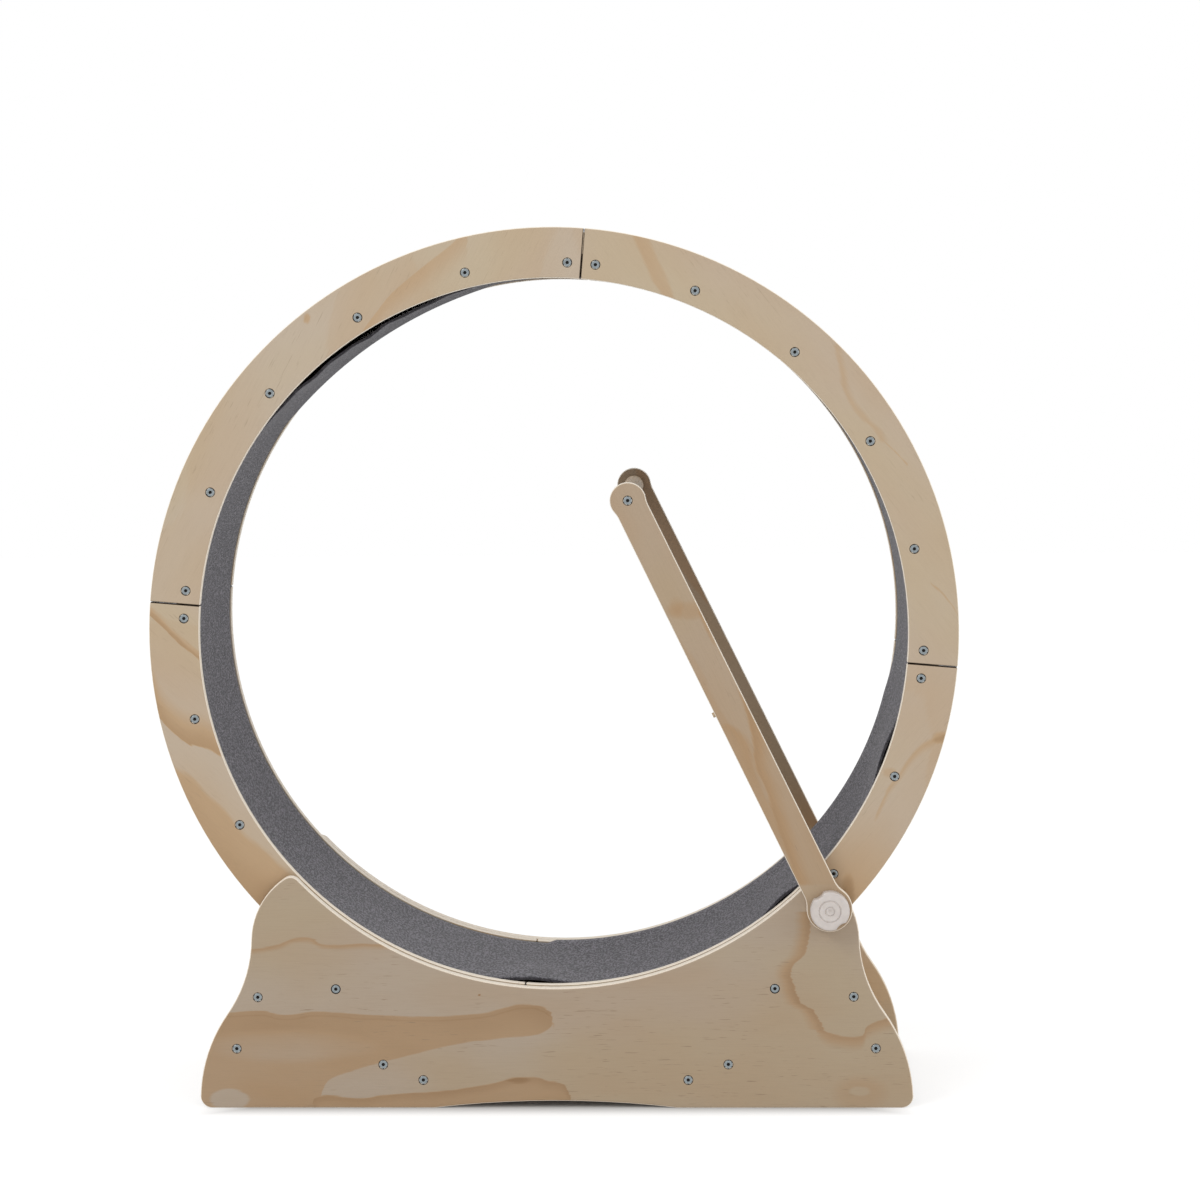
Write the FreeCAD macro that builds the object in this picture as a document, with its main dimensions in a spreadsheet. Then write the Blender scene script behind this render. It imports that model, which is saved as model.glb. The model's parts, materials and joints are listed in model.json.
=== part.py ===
import FreeCAD, Part
import math
import os

import Sketcher
from FreeCAD import Placement, Rotation, Vector

# A free-standing exercise wheel for a cat. Two ply rings, each of four arcs, are tied together by
# cross battens and lined with a thin board and felt. The rings run on grooved rollers between two
# shaped side panels, and a forked arm for a hanging toy is clamped to the panels by two knobs.
# The frame: +Z up, X along the panels, Y along the wheel's axle line, origin on the floor
# under the middle of the wheel. The front of the wheel faces -Y.

doc = FreeCAD.newDocument("cat_exercise_wheel")
sizes = doc.addObject("Spreadsheet::Sheet", "Sizes")

# Lengths are in millimetres and angles in degrees.
DRIVING_SIZES = [
    # the two rings
    ("wheel_centre_height", 586.3, "floor to the middle of the wheel"),
    ("wheel_radius", 498, "outside of a ring"),
    ("ring_breadth", 62, "a ring, from its outside to its inside edge"),
    ("ring_ply", 12, "thickness of a ring"),
    ("wheel_width", 300, "over the outer faces of both rings"),
    ("seam_gap", 1, "between two arcs of a ring"),
    ("seam_angle", 4.9, "how far the top seam stands clockwise from the vertical"),
    ("ring_screw_inset", 43, "ring's outside to its circle of screws"),
    ("seam_screw_offset", 17.2, "seam to the nearest screw"),
    # the battens and the lining of the track
    ("batten_depth", 23, "a batten, measured towards the middle of the wheel"),
    ("batten_breadth", 34, "a batten with one screw at each end"),
    ("seam_batten_breadth", 66, "a batten behind a seam, with two screws at each end"),
    ("lining_gap", 0.3, "between battens, board and felt"),
    ("board_ply", 2, "thickness of the bent board"),
    ("felt_thickness", 3, "thickness of the felt"),
    ("felt_edge_gap", 0.5, "felt's edge to the ring"),
    ("felt_sag", 8, "how far the felt hangs off the board at the upper left"),
    ("felt_sag_start_angle", -54, "clockwise from the top, where the felt leaves the board"),
    ("felt_sag_end_angle", -14, "clockwise from the top, where the felt meets the board again"),
    # wood screws with a countersunk head
    ("screw_head_radius", 5.8, "head of a wood screw"),
    ("screw_head_depth", 3.2, "depth of the countersunk head"),
    ("screw_shank_radius", 2.2, "shank of a wood screw"),
    ("screw_length", 38, "wood screw, over everything"),
    ("screw_clearance", 0.2, "around a screw in its hole"),
    # the rollers
    ("roller_angle", 31.8, "rollers, out from straight below the middle of the wheel"),
    ("roller_groove_radius", 15.9, "floor of a roller's groove"),
    ("roller_flange_radius", 20, "flange of a roller"),
    ("roller_flange", 2.6, "thickness of a flange at its rim"),
    ("roller_flange_root", 0.8, "how much thicker a flange is at its root"),
    ("running_gap", 0.3, "between a ring and the groove it runs in"),
    ("bearing_radius", 9.5, "outside of a roller's ball bearing"),
    ("bearing_width", 6, "ball bearing along its axle"),
    ("axle_radius", 3, "axle bolt"),
    ("axle_fit", 0.05, "between an axle bolt and its bearing"),
    ("axle_nut_radius", 5.6, "axle nut, over its corners"),
    ("axle_nut_height", 5, "axle nut"),
    ("axle_tail", 2, "axle bolt beyond its nut"),
    ("spacer_radius", 5, "spacer between a panel and a bearing"),
    ("side_play", 0.1, "bearing to spacer and to nut"),
    # the side panels
    ("panel_ply", 15, "thickness of a side panel"),
    ("panel_gap", 6, "ring's outer face to a panel"),
    ("panel_half_width", 441.3, "middle to the widest point of a panel"),
    ("panel_arc_radius", 436.5, "the hollow top of a panel, round the middle of the wheel"),
    ("nose_radius", 13, "tip of a panel's ear"),
    ("shoulder_radius", 94, "outside of a panel's ear"),
    ("shoulder_centre", 281, "middle of that arc, from the middle of the panel"),
    ("shoulder_drop", 377.7, "middle of that arc, below the middle of the wheel"),
    ("waist_radius", 169.6, "hollow of a panel's side"),
    ("flank_radius", 190.3, "bulge of a panel's side"),
    ("flank_height", 8, "middle of that arc, from the floor"),
    ("toe_radius", 14.5, "bottom corner of a panel"),
    ("arch_half_span", 150, "middle to the foot of a panel"),
    ("arch_rise", 8.8, "floor to the top of the shallow arch"),
    # the boards between the panels
    ("end_board_centre", 381.4, "end board from the middle"),
    ("end_board_height", 106.9, "end board above the floor"),
    ("end_board_tilt", 22.8, "end board from the vertical"),
    ("end_board_breadth", 118, "end board along its tilt"),
    ("end_board_screws", 70, "between the two screws at an end"),
    ("low_board_centre", 188.6, "low board from the middle"),
    ("low_board_height", 44.9, "low board above the floor"),
    ("low_board_tilt", 21.5, "low board from the horizontal"),
    ("low_board_breadth", 92, "low board along its tilt"),
    ("low_board_screws", 53.2, "between the two screws at an end"),
    ("board_thickness", 15, "thickness of an end board and a low board"),
    # the forked arm
    ("pivot_offset", 338, "knob from the middle"),
    ("pivot_drop", 336.3, "knob below the middle of the wheel"),
    ("arm_length", 558.4, "knob to the crossbar"),
    ("arm_tilt", 25.9, "how far the arm leans to the left"),
    ("arm_ply", 12, "thickness of an arm"),
    ("arm_gap", 0.1, "panel to an arm"),
    ("arm_top_breadth", 39.5, "arm below its tip"),
    ("arm_foot_breadth", 42, "arm above its foot"),
    ("arm_tip_radius", 22, "tip of an arm"),
    ("arm_foot_radius", 28, "foot of an arm, round the knob"),
    ("arm_blend_radius", 30, "between the edge of an arm and its ends"),
    ("crossbar_radius", 12.5, "round bar between the arms"),
    ("peg_place", 276.8, "knob to the peg in the arm's edge"),
    ("peg_radius", 3.2, "head of the peg"),
    ("peg_head", 3, "height of the peg's head"),
    ("peg_shank_radius", 1.5, "shank of the peg"),
    ("peg_shank", 14, "length of the shank"),
    # the knobs
    ("knob_radius", 24, "knob"),
    ("knob_height", 16, "knob"),
    ("knob_bevel", 2, "edge of the knob's face"),
    ("knob_notch_radius", 14, "finger notch of the knob"),
    ("knob_notch_depth", 3, "depth of a finger notch"),
    ("knob_notch_angle", 36, "notches, from the vertical"),
    ("knob_groove_radius", 13, "ring pressed into the knob's face"),
    ("knob_groove_breadth", 1.2, "breadth of that ring"),
    ("knob_groove_depth", 0.6, "depth of that ring"),
    ("knob_dimple_radius", 2.6, "dimple in the middle of the knob's face"),
    ("knob_dimple_floor_radius", 1.2, "floor of the dimple"),
    ("knob_dimple_depth", 0.8, "depth of the dimple"),
    ("knob_grip", 11, "stud inside the knob"),
    ("stud_radius", 4, "threaded stud of the knob"),
    ("stud_fit", 0.06, "between the stud and its thread"),
    ("stud_clearance", 0.4, "around the stud in the arm and the panel"),
    ("tee_barrel_radius", 5.2, "barrel of the tee nut in the panel"),
    ("tee_barrel_length", 10, "barrel of the tee nut in the panel"),
    ("tee_flange_radius", 11, "flange of the tee nut"),
    ("tee_flange", 1.5, "thickness of the tee nut's flange"),
]

for row, (alias, value, meaning) in enumerate(DRIVING_SIZES, start=1):
    sizes.set(f"A{row}", meaning)
    sizes.set(f"B{row}", str(value))
    sizes.setAlias(f"B{row}", alias)
doc.recompute()

ARCS_PER_RING = 4
ARC_TURN = 360 / ARCS_PER_RING
SCREW_STEPS_PER_ARC = 5
SCREW_STEP_TURN = ARC_TURN / SCREW_STEPS_PER_ARC

# Small round pieces that repeat have flat facets, which keeps so many of them light.
SCREW_SIDES = 6
CLEARANCE_SIDES = 12
RUNNING_SIDES = 20
KNOB_SIDES = 48

INTO_FRONT = Vector(0, 1, 0)
INTO_REAR = Vector(0, -1, 0)
AXLE = Vector(0, 1, 0)

nodes = []


def size(alias):
    """The value of one cell of the sheet."""
    return float(getattr(sizes, alias))


def bind(target, **rules):
    """Bind properties of an object to the sheet, with S standing for the sheet in each rule."""
    for name, rule in rules.items():
        target.setExpression(name, rule.replace("S.", "Sizes."))


def node(target, name):
    """Name a finished piece of the wheel."""
    target.Label = name
    nodes.append(target)
    return target


def upright(turn):
    """A turn about the wheel's axle line, clockwise as the front shows it."""
    return Rotation(AXLE, turn)


def on_wheel(turn, radius, across):
    """A point of the wheel, clockwise from its top, at a distance from its middle."""
    reach = upright(turn).multVec(Vector(0, 0, radius))
    return reach + Vector(0, across, size("wheel_centre_height"))


def part_object(kind, name, **rules):
    """A Part primitive with its sizes bound to the sheet."""
    made = doc.addObject(kind, name)
    bind(made, **rules)
    return made


def combined(kind, name, base, tool):
    """A boolean of two objects."""
    made = doc.addObject(kind, name)
    made.Base = base
    made.Tool = tool
    return made


def shape_object(name, shape):
    """An object that holds a shape made with Part's own functions."""
    made = doc.addObject("Part::Feature", name)
    made.Shape = shape
    return made


def new_body(name):
    return doc.addObject("PartDesign::Body", name)


def sketch_on(body, role, name):
    """A sketch on one of a body's own origin planes."""
    plane = next(item for item in body.Origin.OriginFeatures if item.Role == role)
    sketch = body.newObject("Sketcher::SketchObject", name)
    sketch.AttachmentSupport = [(plane, "")]
    sketch.MapMode = "FlatFace"
    return sketch


def rule_for(sketch, rule, *terms):
    """Add a dimension to a sketch and bind it to the sheet."""
    index = sketch.addConstraint(Sketcher.Constraint(*terms))
    bind(sketch, **{f"Constraints[{index}]": rule})


def tie(sketch, *terms):
    sketch.addConstraint(Sketcher.Constraint(*terms))


def pad(body, sketch, rule, name):
    """Thicken a sketch towards +Y, from the body's front face."""
    made = body.newObject("PartDesign::Pad", name)
    made.Profile = sketch
    made.Reversed = True
    bind(made, Length=rule)
    sketch.Visibility = False
    return made


def turned(section, sides, bored_through=False):
    """A round piece along Y with flat facets, from the (radius, place along Y) pairs of its section."""
    rings = []
    for radius, along in section:
        corners = [upright(360 * side / sides).multVec(Vector(0, along, radius)) for side in range(sides)]
        rings.append(corners + corners[:1])
    if bored_through:
        faces = []
        rings.append(rings[0])
    else:
        faces = [Part.Face(Part.makePolygon(ring)) for ring in (rings[0], rings[-1])]
    for ring, following in zip(rings, rings[1:]):
        for side in range(sides):
            facet = [ring[side], ring[side + 1], following[side + 1], following[side], ring[side]]
            faces.append(Part.Face(Part.makePolygon(facet)))
    solid = Part.Solid(Part.Shell(faces))
    if solid.Volume < 0:
        solid.reverse()
    return solid.removeSplitter()


# ---------------------------------------------------------------- screws and their holes


def screw_form(slack):
    """A countersunk screw that points towards +Y, or with some slack the hole that takes it."""
    head, shank = size("screw_head_radius") + slack, size("screw_shank_radius") + slack
    return turned(
        [(head, 0), (shank, size("screw_head_depth")), (shank, size("screw_length") + slack)],
        SCREW_SIDES,
    )


screw = screw_form(0)
screw_hole = screw_form(size("screw_clearance"))


def driven(point, direction):
    """Where a screw sits whose head is flush at a point and whose shank runs along a direction."""
    return Placement(point, Rotation(INTO_FRONT, direction))


def screws_at(places):
    """Screws at a list of places, as one shape of separate solids."""
    return Part.Compound([screw.transformed(place.toMatrix()) for place in places])


def bored(target, places, name):
    """A piece with the holes of the screws at a list of places."""
    holes = [screw_hole.transformed(place.toMatrix()) for place in places]
    tool = shape_object(name + "_holes", Part.Compound(holes))
    return combined("Part::Cut", name, target, tool)


# ---------------------------------------------------------------- places of the screws

half_width = size("wheel_width") / 2
ring_inner_radius = size("wheel_radius") - size("ring_breadth")
screw_circle = size("wheel_radius") - size("ring_screw_inset")
seam_screw_turn = math.degrees(math.asin(size("seam_screw_offset") / screw_circle))
panel_inner = half_width + size("panel_gap")
panel_outer = panel_inner + size("panel_ply")


def seam_turn(arc):
    """Where one arc of a ring starts, clockwise from the top."""
    return size("seam_angle") + ARC_TURN * arc


def screw_turns(arc):
    """Where the screws of one arc stand."""
    middle = [seam_turn(arc) + SCREW_STEP_TURN * step for step in range(1, SCREW_STEPS_PER_ARC)]
    start = seam_turn(arc) + seam_screw_turn
    end = seam_turn(arc + 1) - seam_screw_turn
    return [start] + middle + [end]


def through_both_rings(turns):
    """Screws at some turns of the wheel, from the front and from the rear."""
    front = [driven(on_wheel(turn, screw_circle, -half_width), INTO_FRONT) for turn in turns]
    rear = [driven(on_wheel(turn, screw_circle, half_width), INTO_REAR) for turn in turns]
    return front, rear


# ---------------------------------------------------------------- the rings


def ring_arc(name):
    """One arc of a ring, from its top seam to its right-hand seam, before it is turned."""
    body = new_body(name)
    outline = sketch_on(body, "XZ_Plane", name + "_outline")
    inset = size("seam_gap") / 2
    ends = []
    for radius in (size("wheel_radius"), ring_inner_radius):
        lean = math.asin(inset / radius)
        circle = Part.Circle(Vector(), Vector(0, 0, 1), radius)
        outline.addGeometry(Part.ArcOfCircle(circle, lean, math.pi / 2 - lean), False)
        ends.append((Vector(radius * math.cos(lean), inset, 0), Vector(inset, radius * math.cos(lean), 0)))
    (outer_right, outer_top), (inner_right, inner_top) = ends
    outline.addGeometry(Part.LineSegment(inner_right, outer_right), False)
    outline.addGeometry(Part.LineSegment(outer_top, inner_top), False)
    tie(outline, "Coincident", 0, 3, -1, 1)
    tie(outline, "Coincident", 1, 3, -1, 1)
    tie(outline, "Coincident", 2, 1, 1, 1)
    tie(outline, "Coincident", 2, 2, 0, 1)
    tie(outline, "Coincident", 3, 1, 0, 2)
    tie(outline, "Coincident", 3, 2, 1, 2)
    tie(outline, "Horizontal", 2)
    tie(outline, "Vertical", 3)
    rule_for(outline, "S.wheel_radius", "Radius", 0, size("wheel_radius"))
    rule_for(outline, "S.wheel_radius - S.ring_breadth", "Radius", 1, ring_inner_radius)
    rule_for(outline, "S.seam_gap / 2", "DistanceY", -1, 1, 2, 1, inset)
    rule_for(outline, "S.seam_gap / 2", "DistanceX", -1, 1, 3, 1, inset)
    pad(body, outline, "S.ring_ply", name + "_ply")
    return body


for arc in range(ARCS_PER_RING):
    front_places, rear_places = through_both_rings(screw_turns(arc))
    sides = (
        ("front", -half_width, front_places),
        ("rear", half_width - size("ring_ply"), rear_places),
    )
    for side, face, places in sides:
        name = f"{side}_ring_arc_{arc + 1}"
        body = ring_arc(name + "_ply")
        body.Placement = Placement(on_wheel(0, 0, face), upright(seam_turn(arc)))
        node(bored(body, places, name), name)

# ---------------------------------------------------------------- the battens behind the rings


def bar_object(name, breadth, width_rule, depth):
    """A straight bar across the wheel, with its breadth and depth named by their cells."""
    return part_object(
        "Part::Box", name + "_bar", Length="S." + breadth, Width=width_rule, Height="S." + depth
    )


def batten(name, turn, breadth, screw_turn_list):
    """A square-cut batten between the two rings, with the holes of its screws."""
    bar = bar_object(name, breadth, "S.wheel_width - 2 * S.ring_ply", "batten_depth")
    inner_face = screw_circle - size("batten_depth") / 2
    corner = Vector(-size(breadth) / 2, size("ring_ply") - half_width, inner_face)
    turned_to = upright(turn)
    bar.Placement = Placement(turned_to.multVec(corner) + on_wheel(0, 0, 0), turned_to)
    front, rear = through_both_rings(screw_turn_list)
    return node(bored(bar, front + rear, name), name)


batten_number = 0
for arc in range(ARCS_PER_RING):
    turns = screw_turns(arc)
    for turn in turns[1:-1]:
        batten_number += 1
        batten(f"cross_batten_{batten_number:02d}", turn, "batten_breadth", [turn])
    before_seam = screw_turns(arc - 1)[-1]
    batten(f"seam_batten_{arc + 1}", seam_turn(arc), "seam_batten_breadth", [before_seam, turns[0]])

# ---------------------------------------------------------------- the lining of the track

board_outer_radius = screw_circle - size("batten_depth") / 2 - size("lining_gap")
felt_outer_radius = board_outer_radius - size("board_ply") - size("lining_gap")
felt_inner_radius = felt_outer_radius - size("felt_thickness")
track_width = size("wheel_width") - 2 * size("ring_ply")

lying = Rotation(Vector(1, 0, 0), 90)
board_outside = "S.wheel_radius - S.ring_screw_inset - S.batten_depth / 2 - S.lining_gap"

for arc in range(ARCS_PER_RING):
    name = f"track_board_{arc + 1}"
    drum = part_object(
        "Part::Cylinder",
        name + "_drum",
        Radius=board_outside,
        Height="S.wheel_width - 2 * S.ring_ply",
        Angle=f"{ARC_TURN} - S.seam_gap / S.wheel_radius * 180 / pi",
    )
    hollow = part_object(
        "Part::Cylinder",
        name + "_hollow",
        Radius=board_outside + " - S.board_ply",
        Height="S.wheel_width - 2 * S.ring_ply",
    )
    board = combined("Part::Cut", name, drum, hollow)
    start = upright(seam_turn(arc + 1) - ARC_TURN)
    board.Placement = Placement(on_wheel(0, 0, track_width / 2), start.multiply(lying))
    node(board, name)


def felt_outline(radius):
    """The felt's edge seen from the front: a circle that hangs inwards over one stretch."""
    start, end = size("felt_sag_start_angle"), size("felt_sag_end_angle")
    middle = (start + end) / 2
    held_middle = middle + 180
    first, last = on_wheel(start, radius, 0), on_wheel(end, radius, 0)
    hanging = Part.Arc(first, on_wheel(middle, radius - size("felt_sag"), 0), last)
    held = Part.Arc(last, on_wheel(held_middle, radius, 0), first)
    return Part.Wire([hanging.toShape(), held.toShape()])


felt_width = track_width - 2 * size("felt_edge_gap")
felt_section = Part.Face(felt_outline(felt_outer_radius)).cut(Part.Face(felt_outline(felt_inner_radius)))
felt_section.translate(Vector(0, -felt_width / 2, 0))
node(shape_object("felt_lining", felt_section.extrude(Vector(0, felt_width, 0)).Solids[0]), "felt_lining")

all_turns = [turn for arc in range(ARCS_PER_RING) for turn in screw_turns(arc)]
front_places, rear_places = through_both_rings(all_turns)
node(shape_object("front_ring_screws", screws_at(front_places)), "front_ring_screws")
node(shape_object("rear_ring_screws", screws_at(rear_places)), "rear_ring_screws")

# ---------------------------------------------------------------- places on the side panels


def slanted_pair(centre, height, tilt, spacing):
    """Two points on a line that is tilted from the horizontal, seen from the front."""
    step = Vector(math.cos(math.radians(tilt)), 0, math.sin(math.radians(tilt))) * (spacing / 2)
    middle = Vector(centre, 0, height)
    return [middle - step, middle + step]


def mirrored(points):
    """The points of the right-hand side, and the same points on the left."""
    return points + [Vector(-point.x, point.y, point.z) for point in points]


def panel_places(points):
    """Screws through both panels at some points seen from the front."""
    front = [driven(Vector(point.x, -panel_outer, point.z), INTO_FRONT) for point in points]
    rear = [driven(Vector(point.x, panel_outer, point.z), INTO_REAR) for point in points]
    return front, rear


end_board_lean = 90 + size("end_board_tilt")
end_screws = slanted_pair(
    size("end_board_centre"), size("end_board_height"), end_board_lean, size("end_board_screws")
)
low_screws = slanted_pair(
    size("low_board_centre"), size("low_board_height"), size("low_board_tilt"), size("low_board_screws")
)
axle_distance = size("wheel_radius") + size("running_gap") + size("roller_groove_radius")
right_axle = on_wheel(180 - size("roller_angle"), axle_distance, 0)
axle_points = mirrored([right_axle])
front_panel_places, rear_panel_places = panel_places(mirrored(end_screws + low_screws))
pivot = Vector(size("pivot_offset"), 0, size("wheel_centre_height") - size("pivot_drop"))

# ---------------------------------------------------------------- the side panels


def circle_crossing(first, first_radius, second, second_radius, upper):
    """Where two circles cross, in the plane of a sketch."""
    across = second - first
    gap = across.Length
    along = (first_radius**2 - second_radius**2 + gap**2) / (2 * gap)
    rise = math.sqrt(first_radius**2 - along**2)
    across.normalize()
    normal = Vector(-across.y, across.x, 0)
    both = [first + across * along + normal * rise, first + across * along - normal * rise]
    return max(both, key=upper)


def arc_between(centre, radius, start, end):
    """An arc of a circle, counter-clockwise from one point to the other."""
    angles = [math.atan2(point.y - centre.y, point.x - centre.x) for point in (start, end)]
    circle = Part.Circle(centre, Vector(0, 0, 1), radius)
    return Part.ArcOfCircle(circle, angles[0], angles[1])


def toward(centre, target, radius):
    """The point of a circle that faces another point."""
    reach = target - centre
    reach.normalize()
    return centre + reach * radius


def panel_half(body):
    """The right-hand half of a panel's outline, from its arch round to its hollow top."""
    outline = sketch_on(body, "XZ_Plane", body.Name + "_outline")
    middle = Vector(0, size("wheel_centre_height"), 0)
    top, nose, shoulder = size("panel_arc_radius"), size("nose_radius"), size("shoulder_radius")
    waist, flank, toe = size("waist_radius"), size("flank_radius"), size("toe_radius")
    rise, span = size("arch_rise"), size("arch_half_span")
    shoulder_centre = Vector(size("shoulder_centre"), middle.y - size("shoulder_drop"), 0)
    flank_centre = Vector(size("panel_half_width") - flank, size("flank_height"), 0)
    nose_centre = circle_crossing(middle, top + nose, shoulder_centre, shoulder - nose, lambda p: p.y)
    waist_centre = circle_crossing(
        flank_centre, flank + waist, shoulder_centre, shoulder + waist, lambda p: p.x
    )
    toe_reach = math.sqrt((flank - toe) ** 2 - (toe - flank_centre.y) ** 2)
    toe_centre = Vector(flank_centre.x + toe_reach, toe, 0)
    arch_radius = (span**2 + rise**2) / (2 * rise)
    arch_centre = Vector(0, rise - arch_radius, 0)

    arch_top, foot = Vector(0, rise, 0), Vector(span, 0, 0)
    toe_start = Vector(toe_centre.x, 0, 0)
    toe_end = flank_centre + (toe_centre - flank_centre).normalize() * flank
    flank_end = toward(flank_centre, waist_centre, flank)
    waist_end = toward(waist_centre, shoulder_centre, waist)
    shoulder_end = shoulder_centre + (nose_centre - shoulder_centre).normalize() * shoulder
    nose_end = toward(nose_centre, middle, nose)
    hollow_low = Vector(0, middle.y - top, 0)

    outline.addGeometry(
        [
            arc_between(arch_centre, arch_radius, foot, arch_top),
            Part.LineSegment(foot, toe_start),
            arc_between(toe_centre, toe, toe_start, toe_end),
            arc_between(flank_centre, flank, toe_end, flank_end),
            arc_between(waist_centre, waist, waist_end, flank_end),
            arc_between(shoulder_centre, shoulder, waist_end, shoulder_end),
            arc_between(nose_centre, nose, shoulder_end, nose_end),
            arc_between(middle, top, hollow_low, nose_end),
            Part.LineSegment(hollow_low, arch_top),
        ],
        False,
    )
    tie(outline, "Coincident", 0, 1, 1, 1)
    tie(outline, "PointOnObject", 0, 3, -2)
    tie(outline, "PointOnObject", 0, 2, -2)
    tie(outline, "PointOnObject", 0, 1, -1)
    tie(outline, "Horizontal", 1)
    tie(outline, "Tangent", 1, 2, 2, 1)
    tie(outline, "Tangent", 2, 2, 3, 1)
    tie(outline, "Tangent", 3, 2, 4, 2)
    tie(outline, "Tangent", 4, 1, 5, 1)
    tie(outline, "Tangent", 5, 2, 6, 1)
    tie(outline, "Tangent", 6, 2, 7, 2)
    tie(outline, "Coincident", 7, 1, 8, 1)
    tie(outline, "Coincident", 8, 2, 0, 2)
    tie(outline, "PointOnObject", 7, 3, -2)
    tie(outline, "PointOnObject", 7, 1, -2)
    rule_for(outline, "S.arch_half_span", "DistanceX", -1, 1, 0, 1, span)
    rule_for(outline, "S.arch_rise", "DistanceY", -1, 1, 0, 2, rise)
    rule_for(outline, "S.wheel_centre_height", "DistanceY", -1, 1, 7, 3, middle.y)
    rule_for(outline, "S.panel_arc_radius", "Radius", 7, top)
    rule_for(outline, "S.nose_radius", "Radius", 6, nose)
    rule_for(outline, "S.shoulder_radius", "Radius", 5, shoulder)
    rule_for(outline, "S.shoulder_centre", "DistanceX", -1, 1, 5, 3, shoulder_centre.x)
    rule_for(outline, "S.shoulder_drop", "DistanceY", 5, 3, 7, 3, size("shoulder_drop"))
    rule_for(outline, "S.waist_radius", "Radius", 4, waist)
    rule_for(outline, "S.flank_radius", "Radius", 3, flank)
    rule_for(outline, "S.flank_height", "DistanceY", -1, 1, 3, 3, flank_centre.y)
    rule_for(outline, "S.panel_half_width - S.flank_radius", "DistanceX", -1, 1, 3, 3, flank_centre.x)
    rule_for(outline, "S.toe_radius", "Radius", 2, toe)
    return outline


def panel_ply(name):
    """A panel without its holes: one half of the outline, and its mirror image."""
    body = new_body(name)
    half = pad(body, panel_half(body), "S.panel_ply", name + "_half")
    mirror = body.newObject("PartDesign::Mirrored", name + "_mirror")
    plane = next(item for item in body.Origin.OriginFeatures if item.Role == "YZ_Plane")
    mirror.Originals = [half]
    mirror.MirrorPlane = (plane, [""])
    body.Tip = mirror
    return body


def hole_along_y(point, start, radius, length):
    """A hole that runs towards +Y, to cut from a panel or an arm."""
    hole = turned([(radius, 0), (radius, length)], CLEARANCE_SIDES)
    hole.translate(Vector(point.x, start, point.z))
    return hole


def panel(name, face, barrel_start, axle_holes, places):
    """A side panel with the holes of its screws, its two axle bolts, its knob and its tee nut."""
    body = panel_ply(name + "_ply")
    body.Placement = Placement(Vector(0, face, 0), Rotation())
    solid = bored(body, places, name + "_screwed")
    stud_hole = hole_along_y(pivot, face, size("stud_radius") + size("stud_clearance"), size("panel_ply"))
    barrel_hole = hole_along_y(
        pivot, barrel_start, size("tee_barrel_radius") + size("screw_clearance"), size("tee_barrel_length")
    )
    tool = shape_object(name + "_round_holes", Part.Compound(axle_holes + [stud_hole.fuse(barrel_hole)]))
    return node(combined("Part::Cut", name, solid, tool), name)


def both_sides(form, point, across):
    """A piece of the front and its mirror image at the rear, at a point seen from the front."""
    front = form.copy()
    front.translate(Vector(point.x, -across, point.z))
    rear = form.mirror(Vector(), AXLE)
    rear.translate(Vector(point.x, across, point.z))
    return [front, rear]


def axle_bolt_form(slack, length):
    """An axle bolt from the face of its countersunk head, or with some slack the hole that takes it."""
    head, shank = size("screw_head_radius") + slack, size("axle_radius") + slack
    return turned([(head, 0), (shank, size("screw_head_depth")), (shank, length)], RUNNING_SIDES)


axle_hole = axle_bolt_form(size("screw_clearance"), size("panel_ply"))
right_axle_holes, left_axle_holes = [both_sides(axle_hole, point, panel_outer) for point in axle_points]
front_axle_holes, rear_axle_holes = zip(right_axle_holes, left_axle_holes)
front_barrel_start = -panel_inner - size("tee_barrel_length")
panel("front_panel", -panel_outer, front_barrel_start, list(front_axle_holes), front_panel_places)
panel("rear_panel", panel_inner, panel_inner, list(rear_axle_holes), rear_panel_places)

# ---------------------------------------------------------------- the boards between the panels


def cross_board(name, side, centre, height, slant, breadth):
    """A board between the panels, its breadth tilted as the front shows it."""
    board = bar_object(name, breadth, "S.wheel_width + 2 * S.panel_gap", "board_thickness")
    turned_to = upright(-slant * side)
    corner = Vector(-size(breadth) / 2, -panel_inner, -size("board_thickness") / 2)
    board.Placement = Placement(Vector(centre * side, 0, height) + turned_to.multVec(corner), turned_to)
    return node(bored(board, front_panel_places + rear_panel_places, name), name)


for side_name, side in (("left", -1), ("right", 1)):
    cross_board(
        side_name + "_end_board",
        side,
        size("end_board_centre"),
        size("end_board_height"),
        end_board_lean,
        "end_board_breadth",
    )
    cross_board(
        side_name + "_low_board",
        side,
        size("low_board_centre"),
        size("low_board_height"),
        size("low_board_tilt"),
        "low_board_breadth",
    )

node(shape_object("panel_screws", screws_at(front_panel_places + rear_panel_places)), "panel_screws")

# ---------------------------------------------------------------- rollers, bearings and axle bolts


ring_middle = half_width - size("ring_ply") / 2
groove_half = size("ring_ply") / 2 + size("running_gap")
root_half = groove_half + size("roller_flange") + size("roller_flange_root")
bearing_half = size("bearing_width") / 2


def roller_form():
    """A grooved roller about the origin, with the seat of its bearing."""
    bore = size("bearing_radius")
    groove, rim = size("roller_groove_radius"), size("roller_flange_radius")
    rim_inside = groove_half + size("roller_flange_root")
    front_half = [(bore, -root_half), (rim, -root_half), (rim, -rim_inside), (groove, -groove_half)]
    rear_half = [(radius, -along) for radius, along in reversed(front_half)]
    return turned(front_half + rear_half, RUNNING_SIDES, bored_through=True)


def ring_form(bore, outside, start, end, sides):
    """A plain round ring along Y, such as a bearing drawn closed or a spacer."""
    section = [(bore, start), (outside, start), (outside, end), (bore, end)]
    return turned(section, sides, bored_through=True)


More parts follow.
